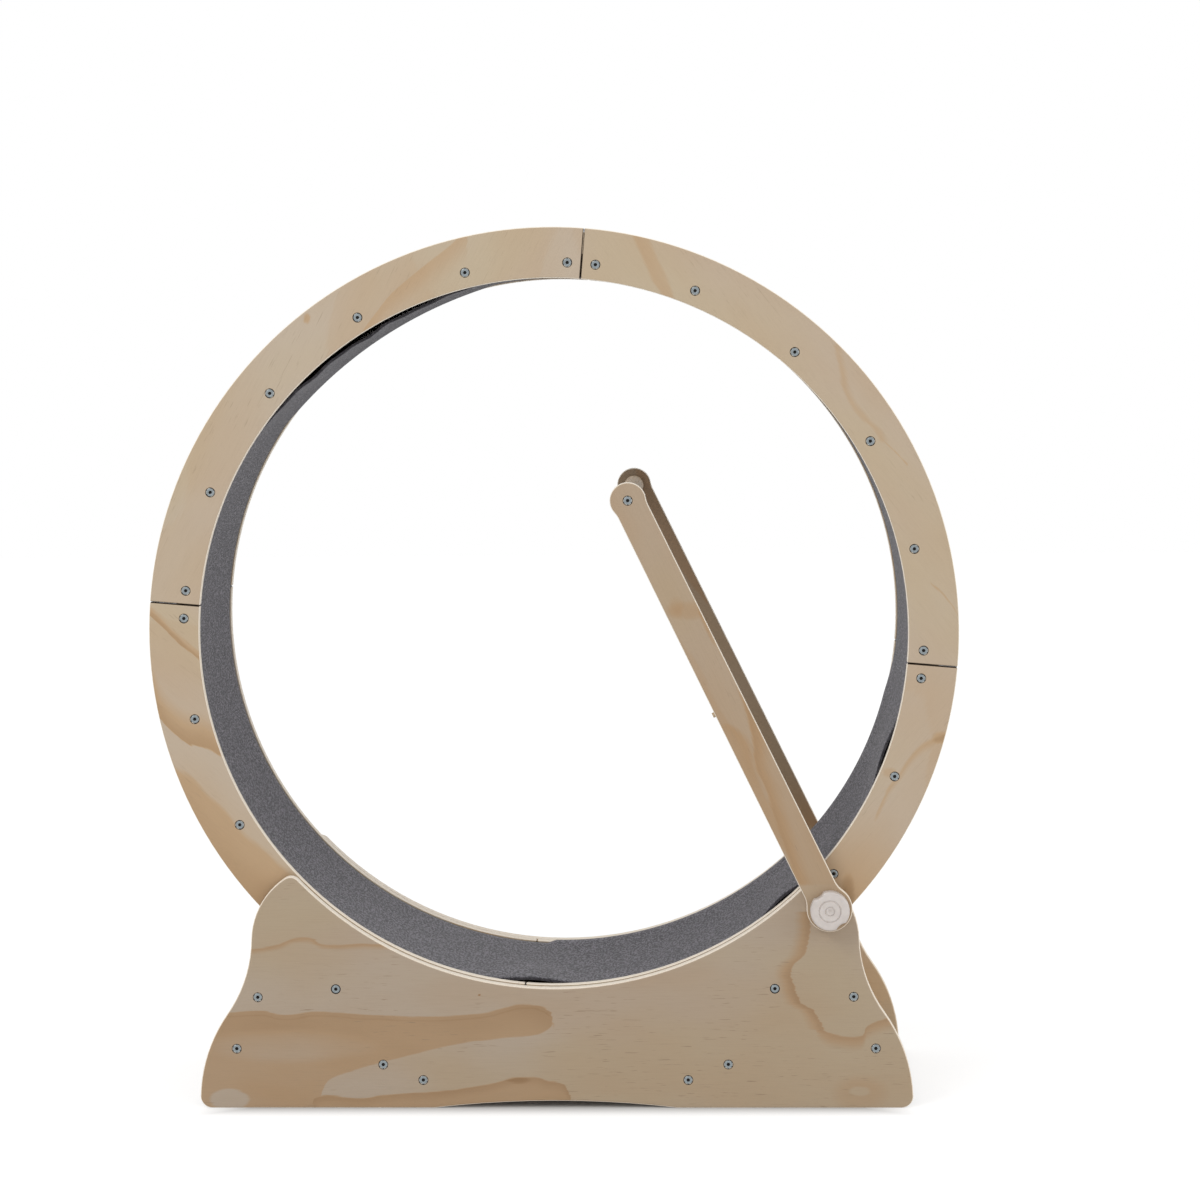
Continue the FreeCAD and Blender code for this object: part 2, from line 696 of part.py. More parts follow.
bearing_form = ring_form(
    size("axle_radius") + size("axle_fit"), size("bearing_radius"), -bearing_half, bearing_half, RUNNING_SIDES
)
for side_name, point in (("right", axle_points[0]), ("left", axle_points[1])):
    rollers = both_sides(roller_form(), point, ring_middle)
    node(shape_object(side_name + "_rollers", Part.Compound(rollers)), side_name + "_rollers")
    bearings = both_sides(bearing_form, point, ring_middle)
    node(shape_object(side_name + "_bearings", Part.Compound(bearings)), side_name + "_bearings")

# Along an axle bolt, from the outer face of its panel.
bearing_middle = panel_outer - ring_middle
spacer_end = bearing_middle - bearing_half - size("side_play")
nut_start = bearing_middle + bearing_half + size("side_play")
nut_end = nut_start + size("axle_nut_height")
bolt_bore = size("axle_radius") + size("screw_clearance")

nut_blank = turned([(size("axle_nut_radius"), nut_start), (size("axle_nut_radius"), nut_end)], SCREW_SIDES)
nut_bore = turned([(bolt_bore, nut_start), (bolt_bore, nut_end)], CLEARANCE_SIDES)
axle_forms = (
    ("axle_bolts", axle_bolt_form(0, nut_end + size("axle_tail"))),
    (
        "axle_spacers",
        ring_form(bolt_bore, size("spacer_radius"), size("panel_ply"), spacer_end, CLEARANCE_SIDES),
    ),
    ("axle_nuts", nut_blank.cut(nut_bore)),
)
for name, form in axle_forms:
    pieces = [piece for point in axle_points for piece in both_sides(form, point, panel_outer)]
    node(shape_object(name, Part.Compound(pieces)), name)

# ---------------------------------------------------------------- tee nuts for the knobs


def tee_nut_form():
    """The threaded tee nut pressed into a panel from the wheel's side, about the panel's inner face."""
    bore = size("stud_radius")
    barrel, flange = size("tee_barrel_radius"), size("tee_flange_radius")
    depth, rim = size("tee_barrel_length"), size("tee_flange")
    section = [(bore, -depth), (barrel, -depth), (barrel, 0), (flange, 0), (flange, rim), (bore, rim)]
    return turned(section, RUNNING_SIDES, bored_through=True)


tee_nuts = both_sides(tee_nut_form(), pivot, panel_inner)
node(shape_object("knob_tee_nuts", Part.Compound(tee_nuts)), "knob_tee_nuts")

# ---------------------------------------------------------------- the forked arm

arm_turn = upright(-size("arm_tilt"))
arm_inner = panel_outer + size("arm_gap")
arm_outer = arm_inner + size("arm_ply")
tip = pivot + arm_turn.multVec(Vector(0, 0, size("arm_length")))


def arm_ply(name):
    """An arm that stands up from its foot: a tapered strip with a round tip and a round foot."""
    body = new_body(name)
    strip = sketch_on(body, "XZ_Plane", name + "_strip")
    foot, top, height = size("arm_foot_breadth") / 2, size("arm_top_breadth") / 2, size("arm_length")
    corners = [
        Vector(-foot, 0, 0),
        Vector(foot, 0, 0),
        Vector(top, height, 0),
        Vector(-top, height, 0),
    ]
    for start in range(4):
        strip.addGeometry(Part.LineSegment(corners[start], corners[(start + 1) % 4]), False)
    for line in range(4):
        tie(strip, "Coincident", line, 2, (line + 1) % 4, 1)
    tie(strip, "Symmetric", 0, 1, 0, 2, -2)
    tie(strip, "Symmetric", 2, 1, 2, 2, -2)
    tie(strip, "PointOnObject", 0, 1, -1)
    rule_for(strip, "S.arm_foot_breadth", "DistanceX", 0, 1, 0, 2, 2 * foot)
    rule_for(strip, "S.arm_top_breadth", "DistanceX", 2, 2, 2, 1, 2 * top)
    rule_for(strip, "S.arm_length", "DistanceY", 0, 2, 1, 2, height)
    pad(body, strip, "S.arm_ply", name + "_strip_ply")
    for end, rule, place in (("foot", "S.arm_foot_radius", 0), ("tip", "S.arm_tip_radius", height)):
        disc = sketch_on(body, "XZ_Plane", f"{name}_{end}")
        disc.addGeometry(Part.Circle(Vector(0, place, 0), Vector(0, 0, 1), size(rule[2:])), False)
        rule_for(disc, rule, "Radius", 0, size(rule[2:]))
        if end == "tip":
            tie(disc, "PointOnObject", 0, 3, -2)
            rule_for(disc, "S.arm_length", "DistanceY", -1, 1, 0, 3, place)
        else:
            tie(disc, "Coincident", 0, 3, -1, 1)
        pad(body, disc, "S.arm_ply", f"{name}_{end}_ply")
    doc.recompute()
    sharp = body.Tip
    blend = body.newObject("PartDesign::Fillet", name + "_blend")
    blend.Base = (sharp, inside_corners(sharp.Shape))
    bind(blend, Radius="S.arm_blend_radius")
    body.Tip = blend
    return body


def inside_corners(shape):
    """The names of the edges across an arm where its straight sides meet its round ends."""
    names = []
    for number, edge in enumerate(shape.Edges, start=1):
        surfaces = {face.Surface.TypeId for face in shape.ancestorsOfType(edge, Part.Face)}
        straight = edge.Curve.TypeId == "Part::GeomLine"
        if straight and surfaces == {"Part::GeomPlane", "Part::GeomCylinder"}:
            names.append(f"Edge{number}")
    return names


def arm(name, face, screw_place):
    """An arm at its lean, with the holes of its knob, its crossbar screw and its peg."""
    body = arm_ply(name + "_ply")
    body.Placement = Placement(Vector(pivot.x, face, pivot.z), arm_turn)
    screwed = bored(body, [screw_place], name + "_screwed")
    stud_hole = hole_along_y(pivot, face, size("stud_radius") + size("stud_clearance"), size("arm_ply"))
    return combined("Part::Cut", name, screwed, shape_object(name + "_stud_hole", stud_hole))


front_tip_screw = driven(Vector(tip.x, -arm_outer, tip.z), INTO_FRONT)
rear_tip_screw = driven(Vector(tip.x, arm_outer, tip.z), INTO_REAR)
front_arm = arm("front_arm_bored", -arm_outer, front_tip_screw)
node(arm("rear_arm", arm_inner, rear_tip_screw), "rear_arm")

crossbar = part_object(
    "Part::Cylinder",
    "crossbar",
    Radius="S.crossbar_radius",
    Height="S.wheel_width + 2 * (S.panel_gap + S.panel_ply + S.arm_gap)",
)
crossbar.Placement = Placement(Vector(tip.x, -arm_inner, tip.z), Rotation(Vector(0, 0, 1), AXLE))
node(bored(crossbar, [front_tip_screw, rear_tip_screw], "arm_crossbar"), "arm_crossbar")
node(shape_object("crossbar_screws", screws_at([front_tip_screw, rear_tip_screw])), "crossbar_screws")

# ---------------------------------------------------------------- the peg in the front arm's edge

peg_share = size("peg_place") / size("arm_length")
peg_edge = (size("arm_foot_breadth") * (1 - peg_share) + size("arm_top_breadth") * peg_share) / 2
peg_seat = pivot + arm_turn.multVec(Vector(-peg_edge, 0, size("peg_place")))
peg_middle = Vector(0, -arm_inner - size("arm_ply") / 2, 0)
peg_set = Placement(peg_seat + peg_middle, arm_turn.multiply(Rotation(AXLE, Vector(1, 0, 0))))


def in_arm_edge(form):
    """A turned piece moved to the peg's seat, where its +Y runs into the arm."""
    return form.transformed(peg_set.toMatrix())


def peg_shank(slack):
    """The shank of the peg, or with some slack the hole that takes it."""
    radius = size("peg_shank_radius") + slack
    return turned([(radius, 0), (radius, size("peg_shank") + slack)], SCREW_SIDES)


peg_hole = shape_object("peg_hole", in_arm_edge(peg_shank(size("screw_clearance"))))
node(combined("Part::Cut", "front_arm", front_arm, peg_hole), "front_arm")
peg_head = turned([(size("peg_radius"), -size("peg_head")), (size("peg_radius"), 0)], CLEARANCE_SIDES)
node(shape_object("toy_peg", in_arm_edge(peg_head.fuse(peg_shank(0)))), "toy_peg")

# ---------------------------------------------------------------- the knobs and their studs


def knob_face_cuts():
    """The ring and the dimple that the mould presses into a knob's face, which lies at the origin."""
    middle, side = size("knob_groove_radius"), size("knob_groove_breadth") / 2
    groove = turned(
        [(middle - side, 0), (middle, size("knob_groove_depth")), (middle + side, 0)],
        RUNNING_SIDES,
        bored_through=True,
    )
    mouth, floor = size("knob_dimple_radius"), size("knob_dimple_floor_radius")
    dimple = turned([(mouth, 0), (floor, size("knob_dimple_depth"))], CLEARANCE_SIDES)
    return [groove, dimple]


def knob_form():
    """A clamping knob that faces -Y, its underside at the origin, with the seat of its stud."""
    radius, height, bevel = size("knob_radius"), size("knob_height"), size("knob_bevel")
    disc = turned([(radius - bevel, -height), (radius, bevel - height), (radius, 0)], KNOB_SIDES)
    notch_centre = radius + size("knob_notch_radius") - size("knob_notch_depth")
    for opposite in (0, 180):
        notch_turn = upright(opposite - size("knob_notch_angle"))
        centre = notch_turn.multVec(Vector(0, -height, notch_centre))
        disc = disc.cut(Part.makeCylinder(size("knob_notch_radius"), height, centre, AXLE))
    for cut in knob_face_cuts():
        cut.translate(Vector(0, -height, 0))
        disc = disc.cut(cut)
    seat = turned([(size("stud_radius"), -size("knob_grip")), (size("stud_radius"), 0)], RUNNING_SIDES)
    return disc.cut(seat)


def stud_form():
    """The stud moulded into a knob, from inside the knob to the end of the tee nut."""
    radius = size("stud_radius") - size("stud_fit")
    end = size("arm_ply") + 2 * size("arm_gap") + size("panel_ply") + size("tee_flange")
    return turned([(radius, -size("knob_grip")), (radius, end)], RUNNING_SIDES)


knob_seat = arm_outer + size("arm_gap")
for name, form in (("knob", knob_form()), ("knob_stud", stud_form())):
    front, rear = both_sides(form, pivot, knob_seat)
    node(shape_object("front_" + name, front), "front_" + name)
    node(shape_object("rear_" + name, rear), "rear_" + name)

# ---------------------------------------------------------------- check and write the pieces

doc.recompute()

for item in doc.Objects:
    if "Invalid" in item.State or "Error" in item.State:
        raise RuntimeError(f"{item.Label} failed: {item.State}")
for item in nodes:
    if item.Shape.isNull() or not item.Shape.isValid():
        raise RuntimeError(f"{item.Label} has no valid shape")

os.makedirs("parts", exist_ok=True)
for item in nodes:
    item.Shape.exportStep(f"parts/{item.Label}.step")
print(f"{len(nodes)} nodes")
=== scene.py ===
import json
import math

import bmesh
import bpy
from mathutils import Matrix, Vector

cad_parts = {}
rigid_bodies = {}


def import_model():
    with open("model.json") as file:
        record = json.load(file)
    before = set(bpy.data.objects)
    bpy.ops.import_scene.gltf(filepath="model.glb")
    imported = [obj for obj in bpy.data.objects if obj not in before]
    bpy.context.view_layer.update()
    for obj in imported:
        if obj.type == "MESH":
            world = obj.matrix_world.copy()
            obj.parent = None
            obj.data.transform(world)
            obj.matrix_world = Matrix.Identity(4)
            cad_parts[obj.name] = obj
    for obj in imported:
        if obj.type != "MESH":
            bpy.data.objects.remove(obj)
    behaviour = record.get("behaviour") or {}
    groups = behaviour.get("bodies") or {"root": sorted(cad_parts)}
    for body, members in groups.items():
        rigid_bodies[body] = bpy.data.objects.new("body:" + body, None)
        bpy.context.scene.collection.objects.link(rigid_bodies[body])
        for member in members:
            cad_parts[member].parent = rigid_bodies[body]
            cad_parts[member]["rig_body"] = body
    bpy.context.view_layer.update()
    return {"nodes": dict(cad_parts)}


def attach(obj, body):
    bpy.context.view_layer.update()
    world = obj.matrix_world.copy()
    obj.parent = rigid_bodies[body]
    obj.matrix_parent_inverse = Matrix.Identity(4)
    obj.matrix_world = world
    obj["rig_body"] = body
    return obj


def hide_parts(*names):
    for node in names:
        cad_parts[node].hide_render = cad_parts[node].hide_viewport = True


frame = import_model()


# ------------------------------------------------------------------ the two side panels
# Each side panel is one piece of pine ply, sawn to shape, with its edges rounded over and its faces
# varnished clear. The faces are rotary-cut veneer, so the figure runs along the panel in wide tongues.

PANEL_ROUNDING = 0.0022
OUTLINE_SPAN = 0.03
SHARP_ANGLE = 0.7
MERGE_REACH = 1e-6
PANEL_PALE = (0.408, 0.328, 0.250, 1)
# The rear panel's pale is painted light: about half again as bright as the front panel's, for its inner face
# that the lamps barely reach.
REAR_PANEL_PALE_PAINTED_LIGHT = (0.620, 0.500, 0.375, 1)
PINE_TAN_SHARE = (0.94, 0.775, 0.58)
PINE_BROWN_SHARE = (0.64, 0.455, 0.265)
PINE_YELLOW_SHARE = (1.0, 0.98, 0.88)
PINE_FIBRE = (0.250, 0.178, 0.112, 1)
PLY_EDGE_PALE = (0.930, 0.840, 0.715, 1)
PLY_EDGE_GLUE = (0.560, 0.420, 0.290, 1)
PLY_LAYER = 0.0024


def shader(tree, kind, inputs=None, **settings):
    """Adds a shader node; an input is a value, or the socket that feeds it."""
    made = tree.nodes.new(kind)
    for name, value in settings.items():
        setattr(made, name, value)
    for name, value in (inputs or {}).items():
        if isinstance(value, bpy.types.NodeSocket):
            tree.links.new(value, made.inputs[name])
        else:
            made.inputs[name].default_value = value
    return made


def new_finish(name, roughness, specular, metallic=0.0):
    """A material with its Principled shader, returned with its node tree."""
    finish = bpy.data.materials.new(name)
    finish.use_nodes = True
    skin = finish.node_tree.nodes["Principled BSDF"]
    skin.inputs["Roughness"].default_value = roughness
    skin.inputs["Specular IOR Level"].default_value = specular
    skin.inputs["Metallic"].default_value = metallic
    return finish, finish.node_tree, skin


def arithmetic(tree, operation, first, second=0.0, clamp=False):
    """A sum, a product or another operation on one or two numbers."""
    inputs = {0: first, 1: second}
    return shader(tree, "ShaderNodeMath", inputs, operation=operation, use_clamp=clamp).outputs[0]


def product(tree, first, second):
    """One number times another."""
    return arithmetic(tree, "MULTIPLY", first, second)


def blended(tree, share, first, second):
    """A colour between two colours, which are inputs 6 and 7 of the Mix node."""
    return shader(tree, "ShaderNodeMix", {0: share, 6: first, 7: second}, data_type="RGBA").outputs[2]


def faded(tree, value, low, high):
    """0 below one value, 1 above the other, and smooth between them."""
    inputs = {"Value": value, "From Min": low, "From Max": high}
    made = shader(tree, "ShaderNodeMapRange", inputs, interpolation_type="SMOOTHSTEP")
    return made.outputs["Result"]


def tinted(colour, share):
    """A colour times a share of each of its parts."""
    return tuple(part * kept for part, kept in zip(colour, share)) + (1,)


def object_place(tree):
    """Where a point lies on the object."""
    return shader(tree, "ShaderNodeTexCoord").outputs["Object"]


def axes_of(tree, place):
    """The X, Y and Z of a place, by name."""
    return shader(tree, "ShaderNodeSeparateXYZ", {0: place}).outputs


def cloudy(tree, place, stretch, detail, roughness):
    """Noise whose patches are as long as one over stretch along each axis."""
    moved = shader(tree, "ShaderNodeMapping", {"Vector": place, "Scale": stretch})
    inputs = {"Vector": moved.outputs[0], "Scale": 1.0, "Detail": detail, "Roughness": roughness}
    return shader(tree, "ShaderNodeTexNoise", inputs).outputs[0]


def along_grain(tree, grain_turn, start):
    """Object coordinates turned about Y, so that X runs along the grain and Z across it."""
    inputs = {"Vector": object_place(tree), "Location": start, "Rotation": (0, math.radians(grain_turn), 0)}
    return shader(tree, "ShaderNodeMapping", inputs, vector_type="TEXTURE").outputs[0]


def drawn_curve(tree, along, points):
    """A curve across a face, drawn through a few (along, across) points in metres."""
    heights = [height for _, height in points]
    left, right = points[0][0], points[-1][0]
    low, high = min(heights) - 0.01, max(heights) + 0.01
    unit = shader(tree, "ShaderNodeMapRange", {"Value": along, "From Min": left, "From Max": right})
    curve = shader(tree, "ShaderNodeFloatCurve", {"Value": unit.outputs["Result"]})
    knots = curve.mapping.curves[0].points
    places = [((x - left) / (right - left), (z - low) / (high - low)) for x, z in points]
    for x, z in places[1:-1]:
        knots.new(x, z)
    ordered = sorted(knots, key=lambda knot: knot.location.x)
    for knot, place in zip(ordered, places):
        knot.location = place
    curve.mapping.update()
    inputs = {"Value": curve.outputs[0], "To Min": low, "To Max": high}
    return shader(tree, "ShaderNodeMapRange", inputs).outputs["Result"]


def beyond(tree, place, line, above):
    """How far a place lies above a line, or under it."""
    return arithmetic(tree, "SUBTRACT", *((place, line) if above else (line, place)))


def late_wood(tree, x, z, edge, strength, fade, fill=0.0, above=False, steep=False, until=None, soft=0.0012):
    """Tan late wood that starts at a drawn edge and pales away from it. A steep edge is drawn up z."""
    along, across = (z, x) if steep else (x, z)
    depth = beyond(tree, across, drawn_curve(tree, along, edge), above)
    inputs = {"Value": depth, "From Min": 0.0, "From Max": fade, "To Min": strength, "To Max": fill}
    paling = shader(tree, "ShaderNodeMapRange", inputs, interpolation_type="SMOOTHSTEP").outputs["Result"]
    tan = product(tree, faded(tree, depth, -soft, soft), paling)
    if until:
        left_over = beyond(tree, drawn_curve(tree, along, until), across, above)
        tan = product(tree, tan, faded(tree, left_over, -soft, soft))
    started = faded(tree, along, edge[0][0] - soft, edge[0][0] + soft)
    going_on = faded(tree, along, edge[-1][0] + soft, edge[-1][0] - soft)
    return product(tree, tan, product(tree, started, going_on))


def spot(tree, x, z, middle, reach, strength, soft):
    """A round or oval patch of tan, or of pale wood where its strength is negative."""
    across = arithmetic(tree, "DIVIDE", arithmetic(tree, "SUBTRACT", x, middle[0]), reach[0])
    up = arithmetic(tree, "DIVIDE", arithmetic(tree, "SUBTRACT", z, middle[1]), reach[1])
    squares = arithmetic(tree, "ADD", arithmetic(tree, "POWER", across, 2), arithmetic(tree, "POWER", up, 2))
    return product(tree, faded(tree, squares, 1 + soft, 1 - soft), strength)


def pine_face(name, grain_turn, start, pale, figure, bands, edges=(), spots=(), warmth=0.0, dashes=0.35):
    """Varnished rotary-cut pine: a pale ground with tan figure, some of it drawn, and short fibres.

    The figure comes from noise in bands, from drawn edges and from spots. Its tan runs from 0 to 1,
    and warmth adds to it everywhere. Dashes are short dark marks along the grain.
    """
    finish, tree, skin = new_finish(name, 0.55, 0.35)
    place = along_grain(tree, grain_turn, start)
    ragged = arithmetic(tree, "SUBTRACT", cloudy(tree, place, (26, 60, 330), 3.0, 0.6), 0.5)
    axes = axes_of(tree, object_place(tree))
    x = arithmetic(tree, "ADD", axes["X"], product(tree, ragged, 0.007))
    z = arithmetic(tree, "ADD", axes["Z"], product(tree, ragged, 0.005))

    hills = cloudy(tree, place, (1.6, 1.6, 4.6), 1.5, 0.4)
    hills = arithmetic(tree, "ADD", hills, product(tree, ragged, 0.015))
    rings = arithmetic(tree, "FRACT", product(tree, hills, bands))
    late = product(tree, faded(tree, rings, 0.35, 0.93), faded(tree, rings, 0.99, 0.95))
    tan = product(tree, late, figure)
    for edge in edges:
        tan = arithmetic(tree, "MAXIMUM", tan, late_wood(tree, x, z, **edge))
    drift = faded(tree, cloudy(tree, place, (6, 6, 13), 2.0, 0.5), 0.35, 0.7)
    tan = arithmetic(tree, "ADD", tan, product(tree, drift, 0.12))
    for patch in spots:
        tan = arithmetic(tree, "ADD", tan, spot(tree, x, z, **patch))
    tan = arithmetic(tree, "ADD", tan, warmth)

    yellow = faded(tree, cloudy(tree, place, (2.6, 2.6, 5.5), 2.0, 0.5), 0.42, 0.62)
    colour = blended(tree, yellow, pale, tinted(pale, PINE_YELLOW_SHARE))
    shallow = arithmetic(tree, "MULTIPLY", tan, 2.0, clamp=True)
    colour = blended(tree, shallow, colour, tinted(pale, PINE_TAN_SHARE))
    deep = arithmetic(tree, "MULTIPLY", arithmetic(tree, "SUBTRACT", tan, 0.5), 2.0, clamp=True)
    colour = blended(tree, deep, colour, tinted(pale, PINE_BROWN_SHARE))

    fibres = faded(tree, cloudy(tree, place, (26, 200, 1300), 3.0, 0.65), 0.42, 0.75)
    colour = blended(tree, product(tree, fibres, 0.13), colour, PINE_FIBRE)
    marks = faded(tree, cloudy(tree, place, (44, 90, 800), 1.5, 0.5), 0.665, 0.74)
    region = faded(tree, cloudy(tree, place, (7, 7, 9), 1.0, 0.5), 0.42, 0.6)
    marks = product(tree, marks, product(tree, region, dashes))
    tree.links.new(blended(tree, marks, colour, PINE_FIBRE), skin.inputs["Base Color"])

    relief = shader(tree, "ShaderNodeBump", {"Height": fibres, "Strength": 0.25, "Distance": 0.0002})
    tree.links.new(relief.outputs[0], skin.inputs["Normal"])
    skin.inputs["Coat Weight"].default_value = 0.15
    skin.inputs["Coat Roughness"].default_value = 0.35
    return finish


def ply_edge(name):
    """The sawn and sanded edge of ply: pale layers across Y with a darker one between them."""
    finish, tree, skin = new_finish(name, 0.6, 0.3)
    here = object_place(tree)
    layers = arithmetic(tree, "PINGPONG", axes_of(tree, here)["Y"], PLY_LAYER)
    end_grain = faded(tree, arithmetic(tree, "DIVIDE", layers, PLY_LAYER), 0.62, 0.82)
    speckle = faded(tree, cloudy(tree, here, (700, 700, 700), 2.0, 0.6), 0.3, 0.8)
    share = arithmetic(tree, "MULTIPLY", end_grain, arithmetic(tree, "ADD", speckle, 0.25), clamp=True)
    colour = blended(tree, product(tree, share, 0.4), PLY_EDGE_PALE, PLY_EDGE_GLUE)
    tree.links.new(colour, skin.inputs["Base Color"])
    return finish


def stand_for(piece, node):
    """The piece rides with a CAD node and replaces it."""
    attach(piece, frame["nodes"][node]["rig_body"])
    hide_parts(node)


def made_object(name, work, finishes):
    """An object from a bmesh, with its finishes."""
    mesh = bpy.data.meshes.new(name)
    work.to_mesh(mesh)
    work.free()
    for finish in finishes:
        mesh.materials.append(finish)
    piece = bpy.data.objects.new(name, mesh)
    bpy.context.scene.collection.objects.link(piece)
    return piece


def is_sharp(edge, angle=SHARP_ANGLE):
    """Whether two faces meet at an edge at more than an angle."""
    return len(edge.link_faces) == 2 and edge.calc_face_angle() > angle


def outline_edges(work):
    """The sharp edges that hang together over more than the span of a small hole."""
    sharp = {edge for edge in work.edges if is_sharp(edge)}
    outline = []
    while sharp:
        group, front = [], [sharp.pop()]
        while front:
            edge = front.pop()
            group.append(edge)
            nearby = {other for vert in edge.verts for other in vert.link_edges} & sharp
            sharp -= nearby
            front.extend(nearby)
        ends = [vert.co for edge in group for vert in edge.verts]
        reaches = [max(end[axis] for end in ends) - min(end[axis] for end in ends) for axis in range(3)]
        if max(reaches) > OUTLINE_SPAN:
            outline.extend(group)
    return outline


def rounded_board(name, node, rounding, face_finish, edge_finish):
    """A board again, with its outline rounded over and its edges in their own finish."""
    work = bmesh.new()
    work.from_mesh(frame["nodes"][node].data)
    bmesh.ops.remove_doubles(work, verts=work.verts, dist=MERGE_REACH)
    bmesh.ops.dissolve_limit(work, angle_limit=math.radians(0.3), verts=work.verts, edges=work.edges)
    bmesh.ops.bevel(
        work,
        geom=outline_edges(work),
        offset=rounding,
        segments=3,
        profile=0.5,
        affect="EDGES",
        material=-1,
    )
    for face in work.faces:
        face.smooth = abs(face.normal.y) < 0.999
        face.material_index = 0 if abs(face.normal.y) > 0.9 else 1
    for edge in work.edges:
        if is_sharp(edge):
            edge.smooth = False
    piece = made_object(name, work, [face_finish, edge_finish])
    stand_for(piece, node)
    return piece


# The figure of the front panel's veneer, in metres from the middle and from the floor: a long tongue with
# a brown upper edge, a strip under a pale lens, a wavy line in the left ear, two tan edges in the right one.
TONGUE_TOP = [
    (-0.450, 0.121), (-0.403, 0.120), (-0.367, 0.122), (-0.337, 0.117), (-0.292, 0.121), (-0.232, 0.117),
    (-0.157, 0.115), (-0.097, 0.118), (-0.060, 0.126), (-0.037, 0.130), (-0.015, 0.126), (-0.003, 0.110),
]
TONGUE_BOTTOM = [
    (-0.450, -0.010), (-0.302, -0.010), (-0.292, 0.014), (-0.286, 0.029), (-0.278, 0.037), (-0.248, 0.048),
    (-0.193, 0.063), (-0.127, 0.079), (-0.070, 0.087), (-0.028, 0.091), (-0.010, 0.098), (-0.003, 0.110),
]
PANEL_EDGES = [
    {"edge": TONGUE_TOP, "until": TONGUE_BOTTOM, "strength": 0.56, "fade": 0.07, "fill": 0.42},
    {"edge": [(x, z - 0.003) for x, z in TONGUE_TOP], "strength": 0.80, "fade": 0.010, "soft": 0.003},
    {
        "edge": [
            (-0.302, 0.006), (-0.292, 0.015), (-0.239, 0.012), (-0.215, 0.016), (-0.143, 0.021),
            (-0.083, 0.030), (-0.029, 0.039), (-0.010, 0.034), (0.001, 0.033), (0.015, 0.021),
            (0.019, 0.006),
        ],
        "strength": 0.68, "fade": 0.014, "fill": 0.48,
    },
    {
        "edge": [
            (-0.400, 0.198), (-0.370, 0.200), (-0.342, 0.205), (-0.308, 0.214), (-0.285, 0.206),
            (-0.261, 0.205), (-0.231, 0.206), (-0.150, 0.200),
        ],
        "strength": 0.50, "fade": 0.009,
    },
    {
        "edge": [
            (0.098, 0.331), (0.121, 0.319), (0.133, 0.302), (0.150, 0.296), (0.171, 0.291),
            (0.193, 0.308), (0.208, 0.312), (0.229, 0.315), (0.245, 0.314),
        ],
        "strength": 0.62, "fade": 0.024, "steep": True,
    },
    {
        "edge": [
            (0.321, 0.116), (0.331, 0.098), (0.348, 0.091), (0.377, 0.090), (0.384, 0.102),
            (0.405, 0.111), (0.450, 0.118),
        ],
        "strength": 0.60, "fade": 0.022,
    },
]
PANEL_SPOTS = [
    {"middle": (-0.330, 0.078), "reach": (0.090, 0.018), "strength": -0.22, "soft": 0.9},
    {"middle": (-0.405, 0.011), "reach": (0.024, 0.013), "strength": -0.50, "soft": 0.3},
    {"middle": (-0.047, 0.035), "reach": (0.014, 0.004), "strength": 0.25, "soft": 0.8},
    {"middle": (-0.093, 0.142), "reach": (0.0016, 0.0012), "strength": 0.90, "soft": 0.6},
    {"middle": (0.376, 0.018), "reach": (0.030, 0.020), "strength": 0.22, "soft": 0.9},
    {"middle": (0.375, 0.021), "reach": (0.013, 0.006), "strength": -0.25, "soft": 0.5},
    {"middle": (0.120, 0.130), "reach": (0.160, 0.050), "strength": 0.10, "soft": 0.95},
]

panel_edge = ply_edge("panel_edge")
front_veneer = pine_face(
    "front_panel_veneer",
    grain_turn=0,
    start=(0, 0, 0),
    pale=PANEL_PALE,
    figure=0.06,
    bands=3.0,
    edges=PANEL_EDGES,
    spots=PANEL_SPOTS,
    dashes=0.75,
)
# The rear panel's veneer is painted paler than the front's, as painted light on its shaded inner face.
rear_veneer_painted_light = pine_face(
    "rear_panel_veneer_painted_light",
    grain_turn=0,
    start=(0.3, 0, 0.2),
    pale=REAR_PANEL_PALE_PAINTED_LIGHT,
    figure=0.42,
    bands=4.0,
    warmth=0.1,
)
rounded_board("front_panel_board", "front_panel", PANEL_ROUNDING, front_veneer, panel_edge)
rounded_board("rear_panel_board", "rear_panel", PANEL_ROUNDING, rear_veneer_painted_light, panel_edge)


# ------------------------------------------------------------------ the boards between the panels
# Four planed pine boards tie the two panels together. Each is screwed through both panels at its ends,
# and stands on edge or lies aslant so that it clears the wheel.

BOARD_ROUNDING = 0.0015
BOARD_PALE = (0.520, 0.400, 0.270, 1)


def stretched(grain, along, across):
    """The stretch of a noise that is long along the grain's axis."""
    return tuple(along if axis == grain else across for axis in "XYZ")


def sawn_pine(name, grain, pale, figure):
    """Planed solid pine whose grain runs along one axis, with narrow straight growth rings."""
    finish, tree, skin = new_finish(name, 0.6, 0.3)
    here = object_place(tree)
    wide = cloudy(tree, here, stretched(grain, 3, 40), 2.0, 0.4)
    rings = arithmetic(tree, "FRACT", product(tree, wide, 9.0))
    late = product(tree, faded(tree, rings, 0.3, 0.9), faded(tree, rings, 1.0, 0.9))
    colour = blended(tree, product(tree, late, figure), pale, tinted(pale, PINE_TAN_SHARE))
    fibres = faded(tree, cloudy(tree, here, stretched(grain, 20, 900), 3.0, 0.6), 0.45, 0.75)
    colour = blended(tree, product(tree, fibres, 0.22), colour, PINE_FIBRE)
    tree.links.new(colour, skin.inputs["Base Color"])
    saw_marks = cloudy(tree, here, stretched(grain, 60, 1600), 2.0, 0.5)
    relief = shader(tree, "ShaderNodeBump", {"Height": saw_marks, "Strength": 0.2, "Distance": 0.0002})
    tree.links.new(relief.outputs[0], skin.inputs["Normal"])
    return finish


